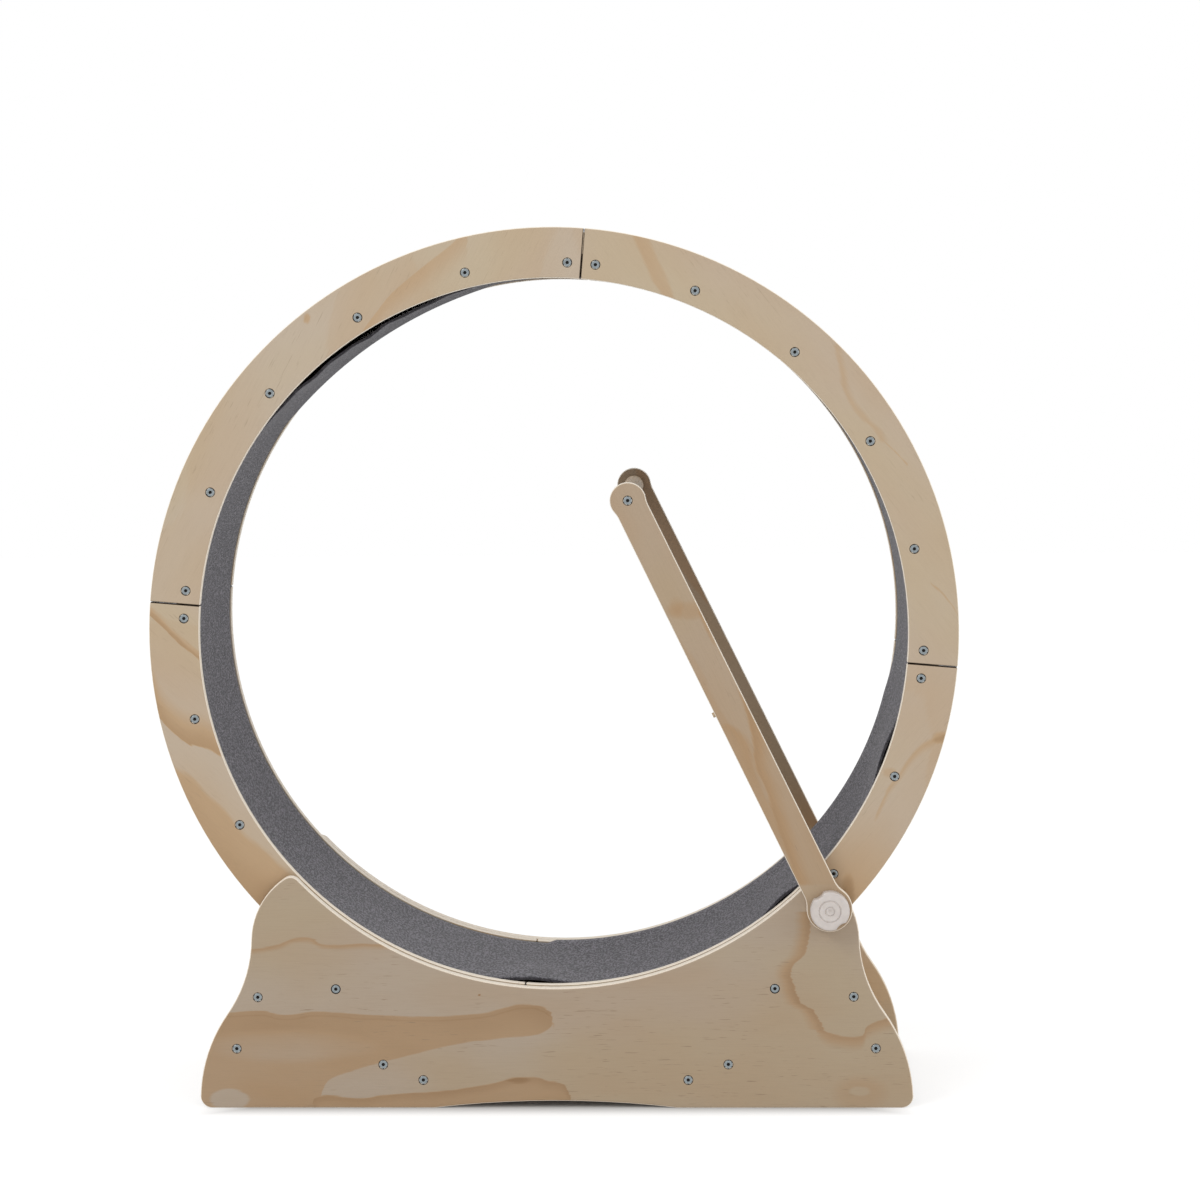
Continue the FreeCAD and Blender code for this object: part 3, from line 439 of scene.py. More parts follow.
cross_board_pine = sawn_pine("cross_board_pine", "Y", BOARD_PALE, 0.5)
for board in ("left_end_board", "left_low_board", "right_low_board", "right_end_board"):
    rounded_board(board + "_planed", board, BOARD_ROUNDING, cross_board_pine, cross_board_pine)


# ------------------------------------------------------------------ rollers, bearings and axle bolts
# Black nylon rollers with a groove for the ring's edge turn on ball bearings. Each bearing sits on an
# axle bolt that comes through its panel from outside, with a spacer before it and a nut behind it.

ROLLER_STEPS = 72
GROOVE_RADIUS = 15.9
GROOVE_HALF_WIDTH = 6.3
BEARING_BORE = 3.05
RACE_WIDTH = 1.6
SHIELD_DEPTH = 0.4
HEAD_RADIUS = 5.0
COUNTERSINK_RADIUS = 6.12
SOCKET_RADIUS = 2.3
SOCKET_FLATS = 0.87
NYLON_DARK = (0.018, 0.018, 0.019, 1)
NYLON_LIGHT = (0.034, 0.034, 0.036, 1)


def turned_piece(profile, steps=ROLLER_STEPS):
    """A form turned about the Y axis, from a profile of (radius, place along Y) pairs in millimetres."""
    work = bmesh.new()
    verts = [work.verts.new(Vector((radius, along, 0)) / 1000) for radius, along in profile]
    edges = [work.edges.new(pair) for pair in zip(verts, verts[1:])]
    if profile[0][0] > 0:
        edges.append(work.edges.new((verts[-1], verts[0])))
    bmesh.ops.spin(
        work,
        geom=verts + edges,
        cent=(0, 0, 0),
        axis=(0, 1, 0),
        dvec=(0, 0, 0),
        angle=2 * math.pi,
        steps=steps,
        use_merge=True,
        use_normal_flip=False,
        use_duplicate=False,
    )
    bmesh.ops.remove_doubles(work, verts=work.verts, dist=1e-7)
    bmesh.ops.recalc_face_normals(work, faces=work.faces)
    return work


def smoothed(work, sharp_angle=0.6):
    """Smooth shading, with the edges over an angle kept sharp."""
    for face in work.faces:
        face.smooth = True
    for edge in work.edges:
        edge.smooth = not is_sharp(edge, sharp_angle)
    return work


def solid_places(node):
    """The lowest and highest corner of each separate solid of a CAD node, from front to rear."""
    work = bmesh.new()
    work.from_mesh(frame["nodes"][node].data)
    bmesh.ops.remove_doubles(work, verts=work.verts, dist=MERGE_REACH)
    left, places = set(work.verts), []
    while left:
        group, front = set(), [left.pop()]
        while front:
            vert = front.pop()
            group.add(vert)
            nearby = {edge.other_vert(vert) for edge in vert.link_edges} & left
            left -= nearby
            front.extend(nearby)
        low = Vector([min(vert.co[axis] for vert in group) for axis in range(3)])
        high = Vector([max(vert.co[axis] for vert in group) for axis in range(3)])
        places.append((low, high))
    work.free()
    return sorted(places, key=lambda place: (place[0].y, place[0].x, place[0].z))


def copies_at(form, places, name, finishes):
    """Copies of a form that faces -Y, each moved to a place. Those at the rear are turned to face +Y."""
    everything = bmesh.new()
    for place in places:
        turn = Matrix.Rotation(math.pi, 4, "Z") if place.y > 0 else Matrix()
        one = form.copy()
        one.transform(Matrix.Translation(place) @ turn)
        scrap = bpy.data.meshes.new("scrap")
        one.to_mesh(scrap)
        one.free()
        everything.from_mesh(scrap)
        bpy.data.meshes.remove(scrap)
    form.free()
    return made_object(name, everything, finishes)


def middle_at(box, along_y):
    """A point on the axis of a round piece, given its box and a place along Y."""
    low, high = box
    return Vector(((low.x + high.x) / 2, along_y, (low.z + high.z) / 2))


def middles(node):
    """The middle of each solid of a node."""
    return [middle_at(box, (box[0].y + box[1].y) / 2) for box in solid_places(node)]


def outer_ends(node):
    """The end of each solid of a node that is further from the middle of the wheel."""
    return [middle_at(box, box[0].y if box[0].y < 0 else box[1].y) for box in solid_places(node)]


def half_sizes(node):
    """Half of the diameter and half of the length of a round solid, in millimetres."""
    low, high = solid_places(node)[0]
    return (high.x - low.x) * 500, (high.y - low.y) * 500


def both_sides(half_profile):
    """A closed profile from its half at one side of the middle."""
    return half_profile + [(radius, -along) for radius, along in reversed(half_profile)]


def moulded_plastic(name, roughness, specular, mottle, dark, light):
    """Moulded plastic with a faint mottle, returned with its skin."""
    finish, tree, skin = new_finish(name, roughness, specular)
    share = faded(tree, cloudy(tree, object_place(tree), *mottle), 0.3, 0.7)
    tree.links.new(blended(tree, share, dark, light), skin.inputs["Base Color"])
    return finish, skin


def plated_steel(name, colour, roughness):
    """Zinc-plated steel with fine wiped marks."""
    finish, tree, skin = new_finish(name, roughness, 0.5, 1.0)
    marks = faded(tree, cloudy(tree, object_place(tree), (900, 250, 900), 3.0, 0.6), 0.35, 0.7)
    darker = tinted(colour, (0.72, 0.72, 0.72))
    tree.links.new(blended(tree, marks, colour, darker), skin.inputs["Base Color"])
    uneven = {"Value": marks, "To Min": roughness, "To Max": roughness + 0.12}
    tree.links.new(shader(tree, "ShaderNodeMapRange", uneven).outputs["Result"], skin.inputs["Roughness"])
    return finish


nylon, _ = moulded_plastic("roller_nylon", 0.45, 0.4, ((160, 160, 160), 3.0, 0.6), NYLON_DARK, NYLON_LIGHT)
zinc = plated_steel("zinc_plate", (0.560, 0.585, 0.610, 1), 0.30)
bearing_steel = plated_steel("bearing_steel", (0.620, 0.620, 0.630, 1), 0.18)
bearing_shield = plated_steel("bearing_shield", (0.420, 0.420, 0.430, 1), 0.38)

for side in ("left", "right"):
    rim, half = half_sizes(side + "_rollers")
    bore, seat = half_sizes(side + "_bearings")
    flange_half = [
        (bore, half),
        (rim - 1.0, half),
        (rim - 0.3, half - 0.3),
        (rim, half - 0.9),
        (rim, half - 2.0),
        (rim - 0.2, half - 2.5),
        (GROOVE_RADIUS + 0.8, GROOVE_HALF_WIDTH + 0.1),
        (GROOVE_RADIUS, GROOVE_HALF_WIDTH - 0.7),
    ]
    form = smoothed(turned_piece(both_sides(flange_half)))
    roller = copies_at(form, middles(side + "_rollers"), side + "_grooved_rollers", [nylon])
    stand_for(roller, side + "_rollers")

    inner_race = BEARING_BORE + RACE_WIDTH
    outer_race = bore - 1.4
    race_half = [
        (BEARING_BORE, seat),
        (inner_race, seat),
        (inner_race + 0.1, seat - SHIELD_DEPTH),
        (outer_race - 0.1, seat - SHIELD_DEPTH),
        (outer_race, seat),
        (bore - 0.3, seat),
        (bore, seat - 0.3),
    ]
    form = smoothed(turned_piece(both_sides(race_half)))
    for face in form.faces:
        middle = face.calc_center_median()
        if inner_race + 0.1 < math.hypot(middle.x, middle.z) * 1000 < outer_race - 0.1:
            face.material_index = 1
    bearing_finishes = [bearing_steel, bearing_shield]
    bearing = copies_at(form, middles(side + "_bearings"), side + "_ball_bearings", bearing_finishes)
    stand_for(bearing, side + "_bearings")


def draw_in(vert, share):
    """Moves a vertex of a turned piece to a share of its distance from the Y axis."""
    vert.co.x *= share
    vert.co.z *= share


def driven_screw(length, shank):
    """A countersunk screw that faces -Y with its head at the origin: a ring of painted shade in the
    countersink round the head, a head, and a hex socket painted dark as its shade.
    """
    profile = [
        (0, 2.2),
        (SOCKET_RADIUS, 1.9),
        (SOCKET_RADIUS, 0.30),
        (2.8, 0.10),
        (HEAD_RADIUS - 0.5, 0.02),
        (HEAD_RADIUS, 0.25),
        (HEAD_RADIUS + 0.15, 0.70),
        (HEAD_RADIUS + 0.35, 0.0),
        (COUNTERSINK_RADIUS, -0.03),
        (COUNTERSINK_RADIUS, 0.10),
        (HEAD_RADIUS, 0.90),
        (shank, 3.4),
        (shank, length - 2),
        (0, length),
    ]
    work = smoothed(turned_piece(profile, 24), 0.9)
    for vert in work.verts:
        if 0 < math.hypot(vert.co.x, vert.co.z) * 1000 < SOCKET_RADIUS + 0.1:
            turn = math.atan2(vert.co.z, vert.co.x) % (math.pi / 3) - math.pi / 6
            draw_in(vert, SOCKET_FLATS / math.cos(turn))
    for face in work.faces:
        middle = face.calc_center_median()
        reach = math.hypot(middle.x, middle.z) * 1000
        # The socket and the thin ring round the head take the second finish, which is painted shade.
        face.material_index = 1 if reach > HEAD_RADIUS or reach < SOCKET_RADIUS else 0
    return work


def place_screws(node, shank=2.2):
    """Countersunk screws where a CAD node has them, each head at the outer end."""
    length = half_sizes(node)[1] * 2
    finishes = [screw_zinc, socket_and_rim_painted_shade]
    piece = copies_at(driven_screw(length, shank), outer_ends(node), node + "_driven", finishes)
    stand_for(piece, node)


def dress(node, finish):
    """A CAD node shown as it is, in its own finish."""
    mesh = frame["nodes"][node].data
    mesh.materials.clear()
    mesh.materials.append(finish)


def painted_shade_finish(name, roughness, specular, colour):
    """One dark colour, painted as the shade in a hole or a gap."""
    finish, _, skin = new_finish(name, roughness, specular)
    skin.inputs["Base Color"].default_value = colour
    return finish


screw_zinc = plated_steel("screw_zinc", (0.300, 0.335, 0.350, 1), 0.34)
# Painted shade for the hex sockets and the thin ring round each screw head.
socket_and_rim_painted_shade = painted_shade_finish("socket_and_rim_painted_shade", 0.7, 0.2, (0.020, 0.018, 0.016, 1))
place_screws("axle_bolts", shank=3.0)
dress("axle_nuts", zinc)
dress("axle_spacers", nylon)
dress("knob_tee_nuts", zinc)


# ------------------------------------------------------------------ screws of the panels
# Zinc-plated steel wood screws with countersunk heads and a hexagon socket. Two go through the panel
# into each end of every board between the panels, and are driven flush with the ply.

place_screws("panel_screws")


# ------------------------------------------------------------------ the two rings
# Each ring is four arcs of pine ply, butted end to end over a wide batten at each seam. Every arc was
# cut from the sheet with its own run of the grain.

WHEEL_CENTRE = Vector((0, 0, 0.5863))
RING_ROUNDING = 0.0016
RING_PALE = (0.500, 0.412, 0.318, 1)
RING_FIGURE_BANDS = 4.5
RING_GRAIN_TURNS = (52, 130, 42, 118)
RING_WARMTH = (0.02, 0.08, 0.05, 0.0)

# The figure of the front ring's arcs, clockwise from the top seam, in metres from the middle and the floor.
# A steep edge has the height first.
RING_EDGES = (
    [
        {
            "edge": [
                (0.985, 0.141), (1.001, 0.136), (1.022, 0.124), (1.046, 0.113), (1.072, 0.101),
                (1.090, 0.094),
            ],
            "until": [
                (0.985, 0.156), (1.004, 0.149), (1.022, 0.143), (1.046, 0.131), (1.071, 0.121),
                (1.090, 0.112),
            ],
            "strength": 0.36, "fade": 0.03, "fill": 0.25, "above": True, "steep": True, "soft": 0.003,
        },
        {
            "edge": [
                (0.820, 0.402), (0.832, 0.397), (0.849, 0.379), (0.881, 0.358), (0.909, 0.352),
                (0.940, 0.345),
            ],
            "strength": 0.34, "fade": 0.014, "above": True, "steep": True, "soft": 0.004,
        },
        {
            "edge": [(0.404, 0.825), (0.418, 0.811), (0.435, 0.793)],
            "strength": 0.42, "fade": 0.004, "soft": 0.001,
        },
        {
            "edge": [(0.463, 0.649), (0.481, 0.632), (0.495, 0.610)],
            "strength": 0.42, "fade": 0.004, "soft": 0.001,
        },
    ],
    [
        {
            "edge": [
                (0.395, 0.360), (0.403, 0.377), (0.413, 0.398), (0.425, 0.414), (0.437, 0.432),
                (0.453, 0.449), (0.466, 0.456), (0.485, 0.462),
            ],
            "strength": 0.36, "fade": 0.016, "soft": 0.004,
        },
        {
            "edge": [(0.300, 0.330), (0.360, 0.350), (0.440, 0.330)],
            "strength": 0.20, "fade": 0.12, "fill": 0.42, "soft": 0.04,
        },
    ],
    [
        {
            "edge": [
                (-0.503, 0.618), (-0.484, 0.601), (-0.469, 0.585), (-0.454, 0.571), (-0.440, 0.560),
                (-0.428, 0.550),
            ],
            "strength": 0.70, "fade": 0.017, "above": True,
        },
        {
            "edge": [
                (-0.500, 0.520), (-0.492, 0.500), (-0.483, 0.480), (-0.466, 0.461), (-0.448, 0.451),
                (-0.433, 0.448), (-0.414, 0.438), (-0.402, 0.430),
            ],
            "strength": 0.66, "fade": 0.058, "above": True,
        },
        {
            "edge": [
                (-0.480, 0.428), (-0.467, 0.422), (-0.447, 0.410), (-0.429, 0.390), (-0.407, 0.369),
                (-0.385, 0.341), (-0.362, 0.322), (-0.327, 0.290), (-0.290, 0.270),
            ],
            "strength": 0.40, "fade": 0.080, "fill": 0.56, "soft": 0.006,
        },
    ],
    [
        {
            "edge": [
                (-0.235, 0.950), (-0.220, 0.972), (-0.210, 0.985), (-0.195, 1.003), (-0.177, 1.019),
                (-0.149, 1.041), (-0.117, 1.066), (-0.100, 1.084),
            ],
            "strength": 0.36, "fade": 0.045,
        },
    ],
)
RING_SPOTS = (
    [],
    [
        {"middle": (0.362, 0.268), "reach": (0.007, 0.018), "strength": 0.30, "soft": 0.8},
        {"middle": (0.413, 0.414), "reach": (0.008, 0.006), "strength": 0.25, "soft": 0.8},
        {"middle": (0.476, 0.457), "reach": (0.010, 0.007), "strength": 0.28, "soft": 0.8},
    ],
    [],
    [{"middle": (-0.297, 0.975), "reach": (0.004, 0.006), "strength": 0.45, "soft": 0.8}],
)

ring_edge = ply_edge("ring_edge")
# The dark brown of the seams is painted shade.
painted_seam_shade = painted_shade_finish("painted_seam_shade", 0.8, 0.1, (0.060, 0.040, 0.026, 1))


def paint_seam_shade(arc):
    """The sawn ends of an arc, which meet the next arc, are never varnished; their dark colour is painted
    shade of the narrow seam.
    """
    arc.data.materials.append(painted_seam_shade)
    for face in arc.data.polygons:
        out = face.center - WHEEL_CENTRE
        out.y = 0
        out.normalize()
        along_rim = abs(face.normal.x * out.z - face.normal.z * out.x)
        if along_rim > 0.6 and abs(face.normal.dot(out)) < 0.5:
            face.material_index = 2


for number in range(4):
    cut = {
        "start": (0.37 * number, 0, 0.586 + 0.11 * number),
        "pale": RING_PALE,
        "bands": RING_FIGURE_BANDS,
    }
    drawn = {"edges": RING_EDGES[number], "spots": RING_SPOTS[number], "warmth": RING_WARMTH[number]}
    turn = RING_GRAIN_TURNS[number]
    name = f"ring_veneer_{number + 1}"
    veneers = {
        "front": pine_face("front_" + name, turn, figure=0.10, **cut, **drawn),
        "rear": pine_face("rear_" + name, turn + 35, figure=0.36, **cut),
    }
    for side, veneer in veneers.items():
        piece_name, node = f"{side}_ring_piece_{number + 1}", f"{side}_ring_arc_{number + 1}"
        paint_seam_shade(rounded_board(piece_name, node, RING_ROUNDING, veneer, ring_edge))
place_screws("front_ring_screws")
place_screws("rear_ring_screws")


# ------------------------------------------------------------------ battens and track boards
# Planed pine battens tie the two rings together, narrow ones behind single screws and wide ones behind
# the seams. A thin board in four arcs is bent round inside them for the felt to lie on.

BENT_BOARD_PALE = (0.350, 0.250, 0.160, 1)

batten_pine = sawn_pine("batten_pine", "Y", BOARD_PALE, 0.45)
bent_board = sawn_pine("bent_board", "Y", BENT_BOARD_PALE, 0.25)
for number in range(16):
    dress(f"cross_batten_{number + 1:02d}", batten_pine)
for number in range(4):
    dress(f"seam_batten_{number + 1}", batten_pine)
    dress(f"track_board_{number + 1}", bent_board)


# ------------------------------------------------------------------ the felt of the track
# A strip of grey needle felt goes once round the inside of the track. It is glued to the bent board, and
# has come away from it at the upper left, where it sags, and at its edges at the bottom and at the right.

FELT_OUTSIDE = 440.9
FELT_THICKNESS = 3.0
FELT_INSIDE = FELT_OUTSIDE - FELT_THICKNESS
FELT_HALF_WIDTH = 137.5
FELT_ROUNDING = 0.9
FELT_ROW = 11.38
FELT_ROWS = 24
FELT_COLUMNS = 480
FELT_SAG = 9.8
FELT_SAG_START, FELT_SAG_END = -55, -11
FELT_FRONT_LIFTS = [(183.5, 9.0, 7.5), (139.5, 6.5, 7.0), (110, 8.5, 7.0)]
FELT_REAR_LIFT = 4.6
FELT_REAR_START, FELT_REAR_END = 96, 183
FELT_DARK = (0.014, 0.012, 0.021, 1)
FELT_LIGHT = (0.184, 0.172, 0.200, 1)
FELT_CLOUD = (0.040, 0.037, 0.046, 1)
# The dark line along both edges of the felt is painted shade where the felt meets the rings.
FELT_EDGE_PAINTED_SHADE = (0.016, 0.015, 0.018, 1)


def felt_sag(turn, along_axle):
    """How far the felt is off the board, in millimetres, at degrees clockwise from the top.

    The lifts at the front are (middle in degrees, reach in degrees, height in millimetres).
    """
    towards_front = max(0.0, min(1.0, 0.5 - along_axle / 0.16))
    towards_rear = max(0.0, min(1.0, along_axle / 0.137))
    share = (turn - FELT_SAG_START) / (FELT_SAG_END - FELT_SAG_START)
    sunk = 0.0
    if 0 < share < 1:
        ripple = 0.10 * math.sin(share * 27) + 0.07 * math.sin(share * 47 + 1)
        fullness = (1 + ripple * towards_front) * (0.82 + 0.18 * towards_front)
        sunk = FELT_SAG * math.sin(math.pi * share) ** 0.7 * fullness
    clockwise = turn % 360
    for middle, reach, height in FELT_FRONT_LIFTS:
        near = (clockwise - middle) / reach
        if abs(near) < 1:
            sunk += height * towards_front ** 2 * math.cos(near * math.pi / 2) ** 2
    if FELT_REAR_START < clockwise < FELT_REAR_END:
        rising = (clockwise - FELT_REAR_START) / 8
        falling = (FELT_REAR_END - clockwise) / 1.5
        sunk += FELT_REAR_LIFT * towards_rear ** 2 * min(1, rising, falling)
    return sunk


felt, felt_tree, felt_skin = new_finish("needle_felt", 0.95, 0.1)
felt_place = object_place(felt_tree)
felt_flecks = faded(felt_tree, cloudy(felt_tree, felt_place, (430, 150, 430), 2.0, 0.6), 0.41, 0.61)
felt_clouds = faded(felt_tree, cloudy(felt_tree, felt_place, (30, 110, 30), 3.0, 0.6), 0.3, 0.7)
felt_across = arithmetic(felt_tree, "ABSOLUTE", axes_of(felt_tree, felt_place)["Y"])
# A thin band of painted shade along both edges of the felt.
felt_edge_shade_mask = faded(felt_tree, felt_across, 0.1345, 0.1370)
felt_grey = blended(felt_tree, felt_flecks, FELT_DARK, FELT_LIGHT)
felt_grey = blended(felt_tree, product(felt_tree, felt_clouds, 0.4), felt_grey, FELT_CLOUD)
felt_grey = blended(felt_tree, product(felt_tree, felt_edge_shade_mask, 0.8), felt_grey, FELT_EDGE_PAINTED_SHADE)
felt_tree.links.new(felt_grey, felt_skin.inputs["Base Color"])
felt_fuzz = shader(felt_tree, "ShaderNodeBump", {"Height": felt_flecks, "Strength": 0.6, "Distance": 0.0006})
felt_tree.links.new(felt_fuzz.outputs[0], felt_skin.inputs["Normal"])
felt_skin.inputs["Sheen Weight"].default_value = 0.25
felt_skin.inputs["Sheen Roughness"].default_value = 0.6

felt_profile = [(FELT_INSIDE + FELT_ROUNDING, -FELT_HALF_WIDTH)]
for row in range(FELT_ROWS + 1):
    felt_profile.append((FELT_INSIDE, -FELT_HALF_WIDTH + FELT_ROUNDING + FELT_ROW * row))
felt_profile += [
    (FELT_INSIDE + FELT_ROUNDING, FELT_HALF_WIDTH),
    (FELT_OUTSIDE, FELT_HALF_WIDTH),
    (FELT_OUTSIDE, -FELT_HALF_WIDTH),
]
felt_work = turned_piece(felt_profile, FELT_COLUMNS)
for vert in felt_work.verts:
    turn = math.degrees(math.atan2(vert.co.x, vert.co.z))
    reach = math.hypot(vert.co.x, vert.co.z)
    draw_in(vert, 1 - felt_sag(turn, vert.co.y) / 1000 / reach)
bmesh.ops.translate(felt_work, verts=felt_work.verts, vec=WHEEL_CENTRE)
felt_strip = made_object("felt_strip", smoothed(felt_work, 1.0), [felt])
stand_for(felt_strip, "felt_lining")


# ------------------------------------------------------------------ the forked arm
# Two ply arms, cut along the grain, carry a round bar between their tips. A small peg in the front
# arm's edge holds the string of a toy, and a screw holds each arm to the bar.

ARM_ROUNDING = 0.0016
ARM_LEAN = 25.9
ARM_PALE = (0.420, 0.325, 0.232, 1)
# The rear arm's pale is darker than the front arm's: painted shade for the arm behind the front one.
REAR_ARM_PALE_PAINTED_SHADE = (0.300, 0.220, 0.150, 1)
ARM_BANDS = 6.0

# The figure of the front arm, in metres from the middle and the floor: a smudge across it, a tan streak down
# its right side, and a darker one that crosses to the left further down.
ARM_EDGES = [
    {
        "edge": [
            (0.280, 0.300), (0.303, 0.291), (0.370, 0.268), (0.400, 0.259), (0.430, 0.247),
            (0.454, 0.245), (0.511, 0.231), (0.556, 0.211), (0.607, 0.184), (0.640, 0.175),
        ],
        "strength": 0.50, "fade": 0.024, "fill": 0.16, "above": True, "steep": True, "soft": 0.003,
    },
    {
        "edge": [
            (0.320, 0.300), (0.370, 0.270), (0.400, 0.258), (0.430, 0.247), (0.454, 0.240),
            (0.480, 0.215),
        ],
        "strength": 0.34, "fade": 0.030, "fill": 0.16, "steep": True, "soft": 0.006,
    },
]
ARM_SPOTS = [
    {"middle": (0.168, 0.618), "reach": (0.026, 0.010), "strength": 0.26, "soft": 0.9},
    {"middle": (0.152, 0.622), "reach": (0.008, 0.012), "strength": 0.16, "soft": 0.9},
]

arm_edge = ply_edge("arm_edge")
arm_veneer = pine_face(
    "arm_veneer",
    grain_turn=90 - ARM_LEAN,
    start=(2.1, 0, 0.4),
    pale=ARM_PALE,
    figure=0.14,
    bands=ARM_BANDS,
    edges=ARM_EDGES,
    spots=ARM_SPOTS,
    warmth=0.06,
)
# The rear arm's veneer is painted dark as the shade it lies in behind the front arm.
rear_arm_veneer_painted_shade = pine_face(
    "rear_arm_veneer_painted_shade",
    grain_turn=90 - ARM_LEAN,
    start=(1.2, 0, 0.9),
    pale=REAR_ARM_PALE_PAINTED_SHADE,
    figure=0.3,
    bands=ARM_BANDS,
)
rounded_board("front_arm_piece", "front_arm", ARM_ROUNDING, arm_veneer, arm_edge)
rounded_board("rear_arm_piece", "rear_arm", ARM_ROUNDING, rear_arm_veneer_painted_shade, arm_edge)
turned_pine = sawn_pine("turned_pine", "Y", BOARD_PALE, 0.35)
dress("arm_crossbar", turned_pine)
dress("toy_peg", turned_pine)
place_screws("crossbar_screws")


# ------------------------------------------------------------------ the two knobs
# Moulded white plastic knobs, each with two finger notches, two fine rings in its face and a dimple in
# the middle. A steel stud is moulded in and clamps the arm against the panel.

KNOB_RADIUS = 24
KNOB_HEIGHT = 16
KNOB_NOTCH_RADIUS = 14
KNOB_NOTCH_DEPTH = 3
KNOB_NOTCH_TURN = 36
KNOB_RINGS_END = 15
PLASTIC_DARK = (0.590, 0.535, 0.500, 1)
PLASTIC_LIGHT = (0.650, 0.595, 0.560, 1)

white_plastic, plastic_skin = moulded_plastic(
    "white_plastic", 0.35, 0.5, ((90, 90, 90), 2.0, 0.5), PLASTIC_DARK, PLASTIC_LIGHT
)
plastic_skin.inputs["Subsurface Weight"].default_value = 0.05
plastic_skin.inputs["Subsurface Radius"].default_value = (0.002, 0.0015, 0.001)


def notched(turn):
    """The knob's radius at a turn, drawn in where a finger notch cuts it."""
    radius = KNOB_RADIUS
    middle = KNOB_RADIUS + KNOB_NOTCH_RADIUS - KNOB_NOTCH_DEPTH
    for notch in (-KNOB_NOTCH_TURN, 180 - KNOB_NOTCH_TURN):
        away = math.radians((turn - notch + 180) % 360 - 180)
        inside = KNOB_NOTCH_RADIUS ** 2 - (middle * math.sin(away)) ** 2
        if math.cos(away) > 0 and inside > 0:
            radius = min(radius, middle * math.cos(away) - math.sqrt(inside))
    return radius


knob_profile = [
    (0, 1.4),
    (1.3, 1.2),
    (2.6, 0.1),
    (4.4, 0.0),
    (4.7, 1.0),
    (5.8, 1.1),
    (6.3, 0.1),
    (12.2, 0.0),
    (12.5, 1.1),
    (13.5, 1.2),
    (14.0, 0.1),
    (20.6, 0.0),
    (22.3, 0.3),
    (23.4, 1.0),
    (KNOB_RADIUS, 2.4),
    (KNOB_RADIUS, KNOB_HEIGHT - 0.6),
    (KNOB_RADIUS - 0.6, KNOB_HEIGHT),
    (0, KNOB_HEIGHT),
]
for knob in ("front_knob", "rear_knob"):
    work = turned_piece(knob_profile, 144)
    for vert in work.verts:
        reach = math.hypot(vert.co.x, vert.co.z) * 1000
        if reach > KNOB_RINGS_END:
            turn = math.degrees(math.atan2(vert.co.x, vert.co.z))
            draw_in(vert, 1 + (notched(turn) - KNOB_RADIUS) / reach)
    piece = copies_at(smoothed(work, 0.9), outer_ends(knob), knob + "_moulding", [white_plastic])
    stand_for(piece, knob)
    dress(knob + "_stud", zinc)


# ------------------------------------------------------------------ floor, light and camera
# The wheel stands on a white floor in soft light, which comes a little from the upper left. The camera and
# polished metal see the floor and the sky as white, while what lights the wheel is dimmer.
# Under and close round the wheel the floor's glow is taken away, a painted darkening that stands in for the
# wheel's shade.

FLOOR_HALF = 9
FLOOR_DROP = 0.0002
FLOOR_GLOW = 0.68


def seen_instead(tree, lighting, seen):
    """One shader that lights the wheel, and another that the camera and polished metal see."""
    path = shader(tree, "ShaderNodeLightPath").outputs
    looked_at = arithmetic(tree, "MAXIMUM", path["Is Camera Ray"], path["Is Glossy Ray"])
    inputs = {0: looked_at, 1: lighting.outputs[0], 2: seen.outputs[0]}
    return shader(tree, "ShaderNodeMixShader", inputs).outputs[0]


floor_work = bmesh.new()
bmesh.ops.create_grid(floor_work, x_segments=1, y_segments=1, size=FLOOR_HALF)
bmesh.ops.translate(floor_work, verts=floor_work.verts, vec=(0, 0, -FLOOR_DROP))
floor_white, floor_tree, floor_skin = new_finish("floor_white", 0.9, 0.0)
floor_skin.inputs["Base Color"].default_value = (0.8, 0.8, 0.8, 1)
floor_axes = axes_of(floor_tree, object_place(floor_tree))
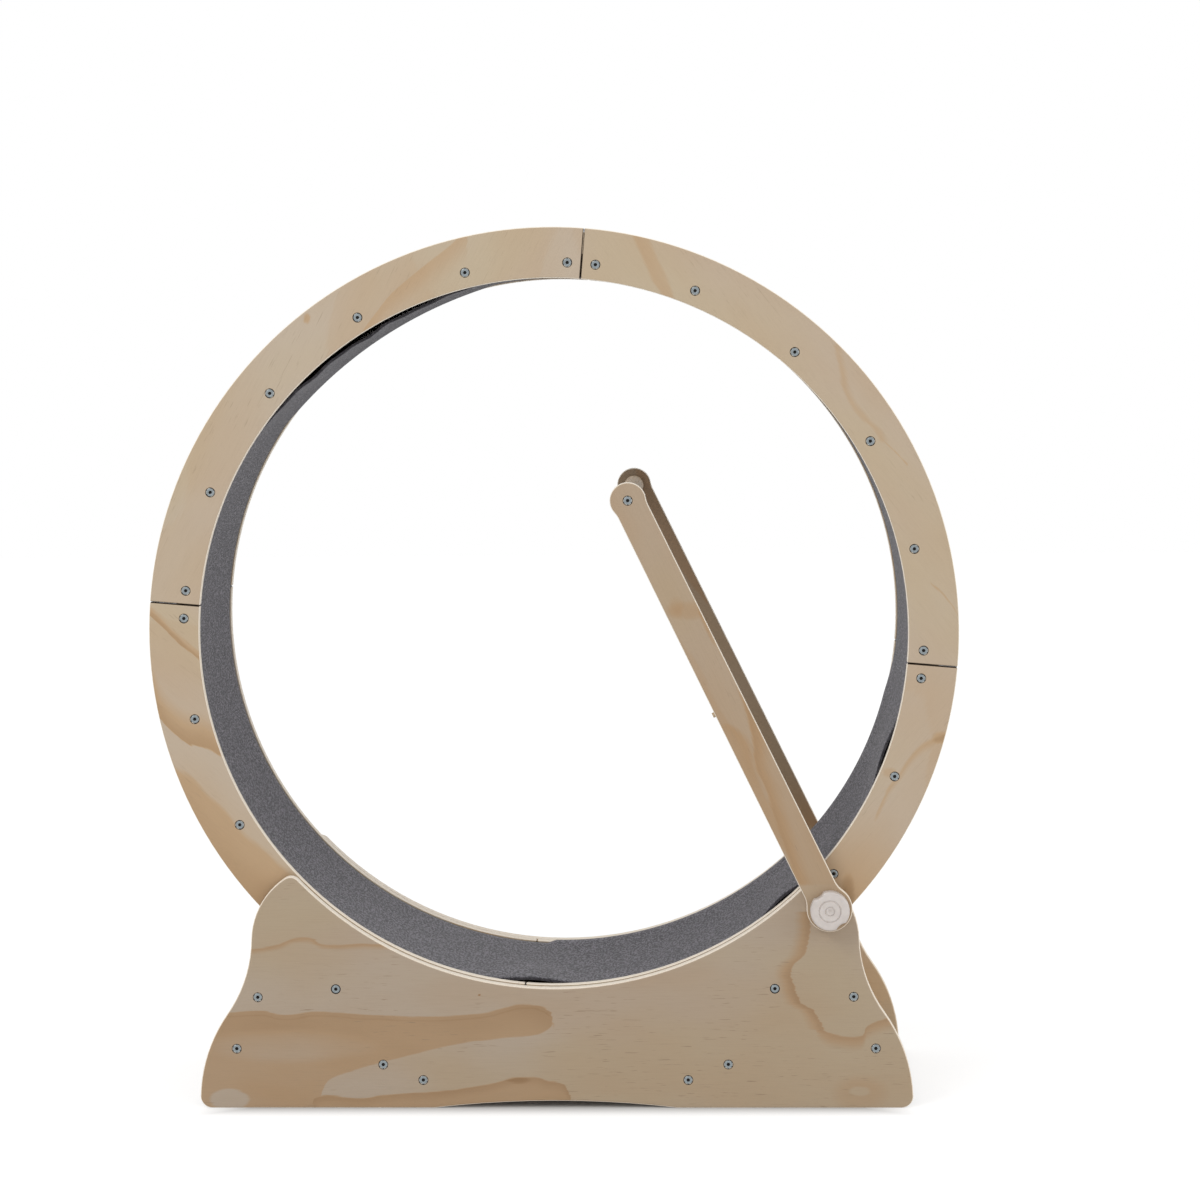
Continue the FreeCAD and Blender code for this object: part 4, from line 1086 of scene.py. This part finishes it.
# The glow fades out inside the wheel's footprint: painted shade on the floor under the wheel.
beside = faded(floor_tree, arithmetic(floor_tree, "ABSOLUTE", floor_axes["X"]), 0.34, 0.46)
before = faded(floor_tree, arithmetic(floor_tree, "ABSOLUTE", floor_axes["Y"]), 0.15, 0.22)
glow_with_painted_shade = product(floor_tree, arithmetic(floor_tree, "MAXIMUM", beside, before), FLOOR_GLOW)
floor_matt = shader(floor_tree, "ShaderNodeBsdfDiffuse", {"Color": (0.45, 0.45, 0.45, 1)})
floor_glow = shader(floor_tree, "ShaderNodeEmission", {"Color": (1, 1, 1, 1), "Strength": glow_with_painted_shade})
floor_seen = shader(floor_tree, "ShaderNodeAddShader", {0: floor_matt.outputs[0], 1: floor_glow.outputs[0]})
floor_surface = floor_tree.nodes["Material Output"].inputs["Surface"]
floor_tree.links.new(seen_instead(floor_tree, floor_skin, floor_seen), floor_surface)
made_object("floor", floor_work, [floor_white])

world = bpy.data.worlds.new("studio")
bpy.context.scene.world = world
world.use_nodes = True
sky = world.node_tree
sky_light = sky.nodes["Background"]
sky_light.inputs["Color"].default_value = (1, 1, 1, 1)
sky_light.inputs["Strength"].default_value = 0.75
sky_seen = shader(sky, "ShaderNodeBackground", {"Color": (1, 1, 1, 1), "Strength": 1.0})
sky.links.new(seen_instead(sky, sky_light, sky_seen), sky.nodes["World Output"].inputs["Surface"])


def soft_lamp(name, place, aim, width, power):
    """A square area lamp that points at a spot."""
    lamp = bpy.data.lights.new(name, "AREA")
    lamp.size = width
    lamp.energy = power
    piece = bpy.data.objects.new(name, lamp)
    piece.location = place
    piece.rotation_euler = (Vector(aim) - Vector(place)).to_track_quat("-Z", "Y").to_euler()
    bpy.context.scene.collection.objects.link(piece)


soft_lamp("key_lamp", (-2.6, -3.4, 3.6), (0, 0, 0.5), width=2.0, power=70)
soft_lamp("fill_lamp", (4.0, -2.0, 1.8), (0, 0, 0.5), width=2.5, power=35)

PICTURE_WIDTH = 1200
FOCAL_PIXELS = 3439.9

camera = bpy.data.cameras.new("camera")
camera.sensor_width = 36
camera.lens = FOCAL_PIXELS * camera.sensor_width / PICTURE_WIDTH
view = bpy.data.objects.new("camera", camera)
view.location = (0.1944, -4.350, 0.9962)
pitch, yaw, roll = math.radians(5.0), 0.032328, -0.007458
view.matrix_world = (
    Matrix.Translation(view.location)
    @ Matrix.Rotation(yaw, 4, "Z")
    @ Matrix.Rotation(math.pi / 2 - pitch, 4, "X")
    @ Matrix.Rotation(roll, 4, "Z")
)
bpy.context.scene.collection.objects.link(view)
bpy.context.scene.camera = view
bpy.context.scene.view_settings.view_transform = "Standard"
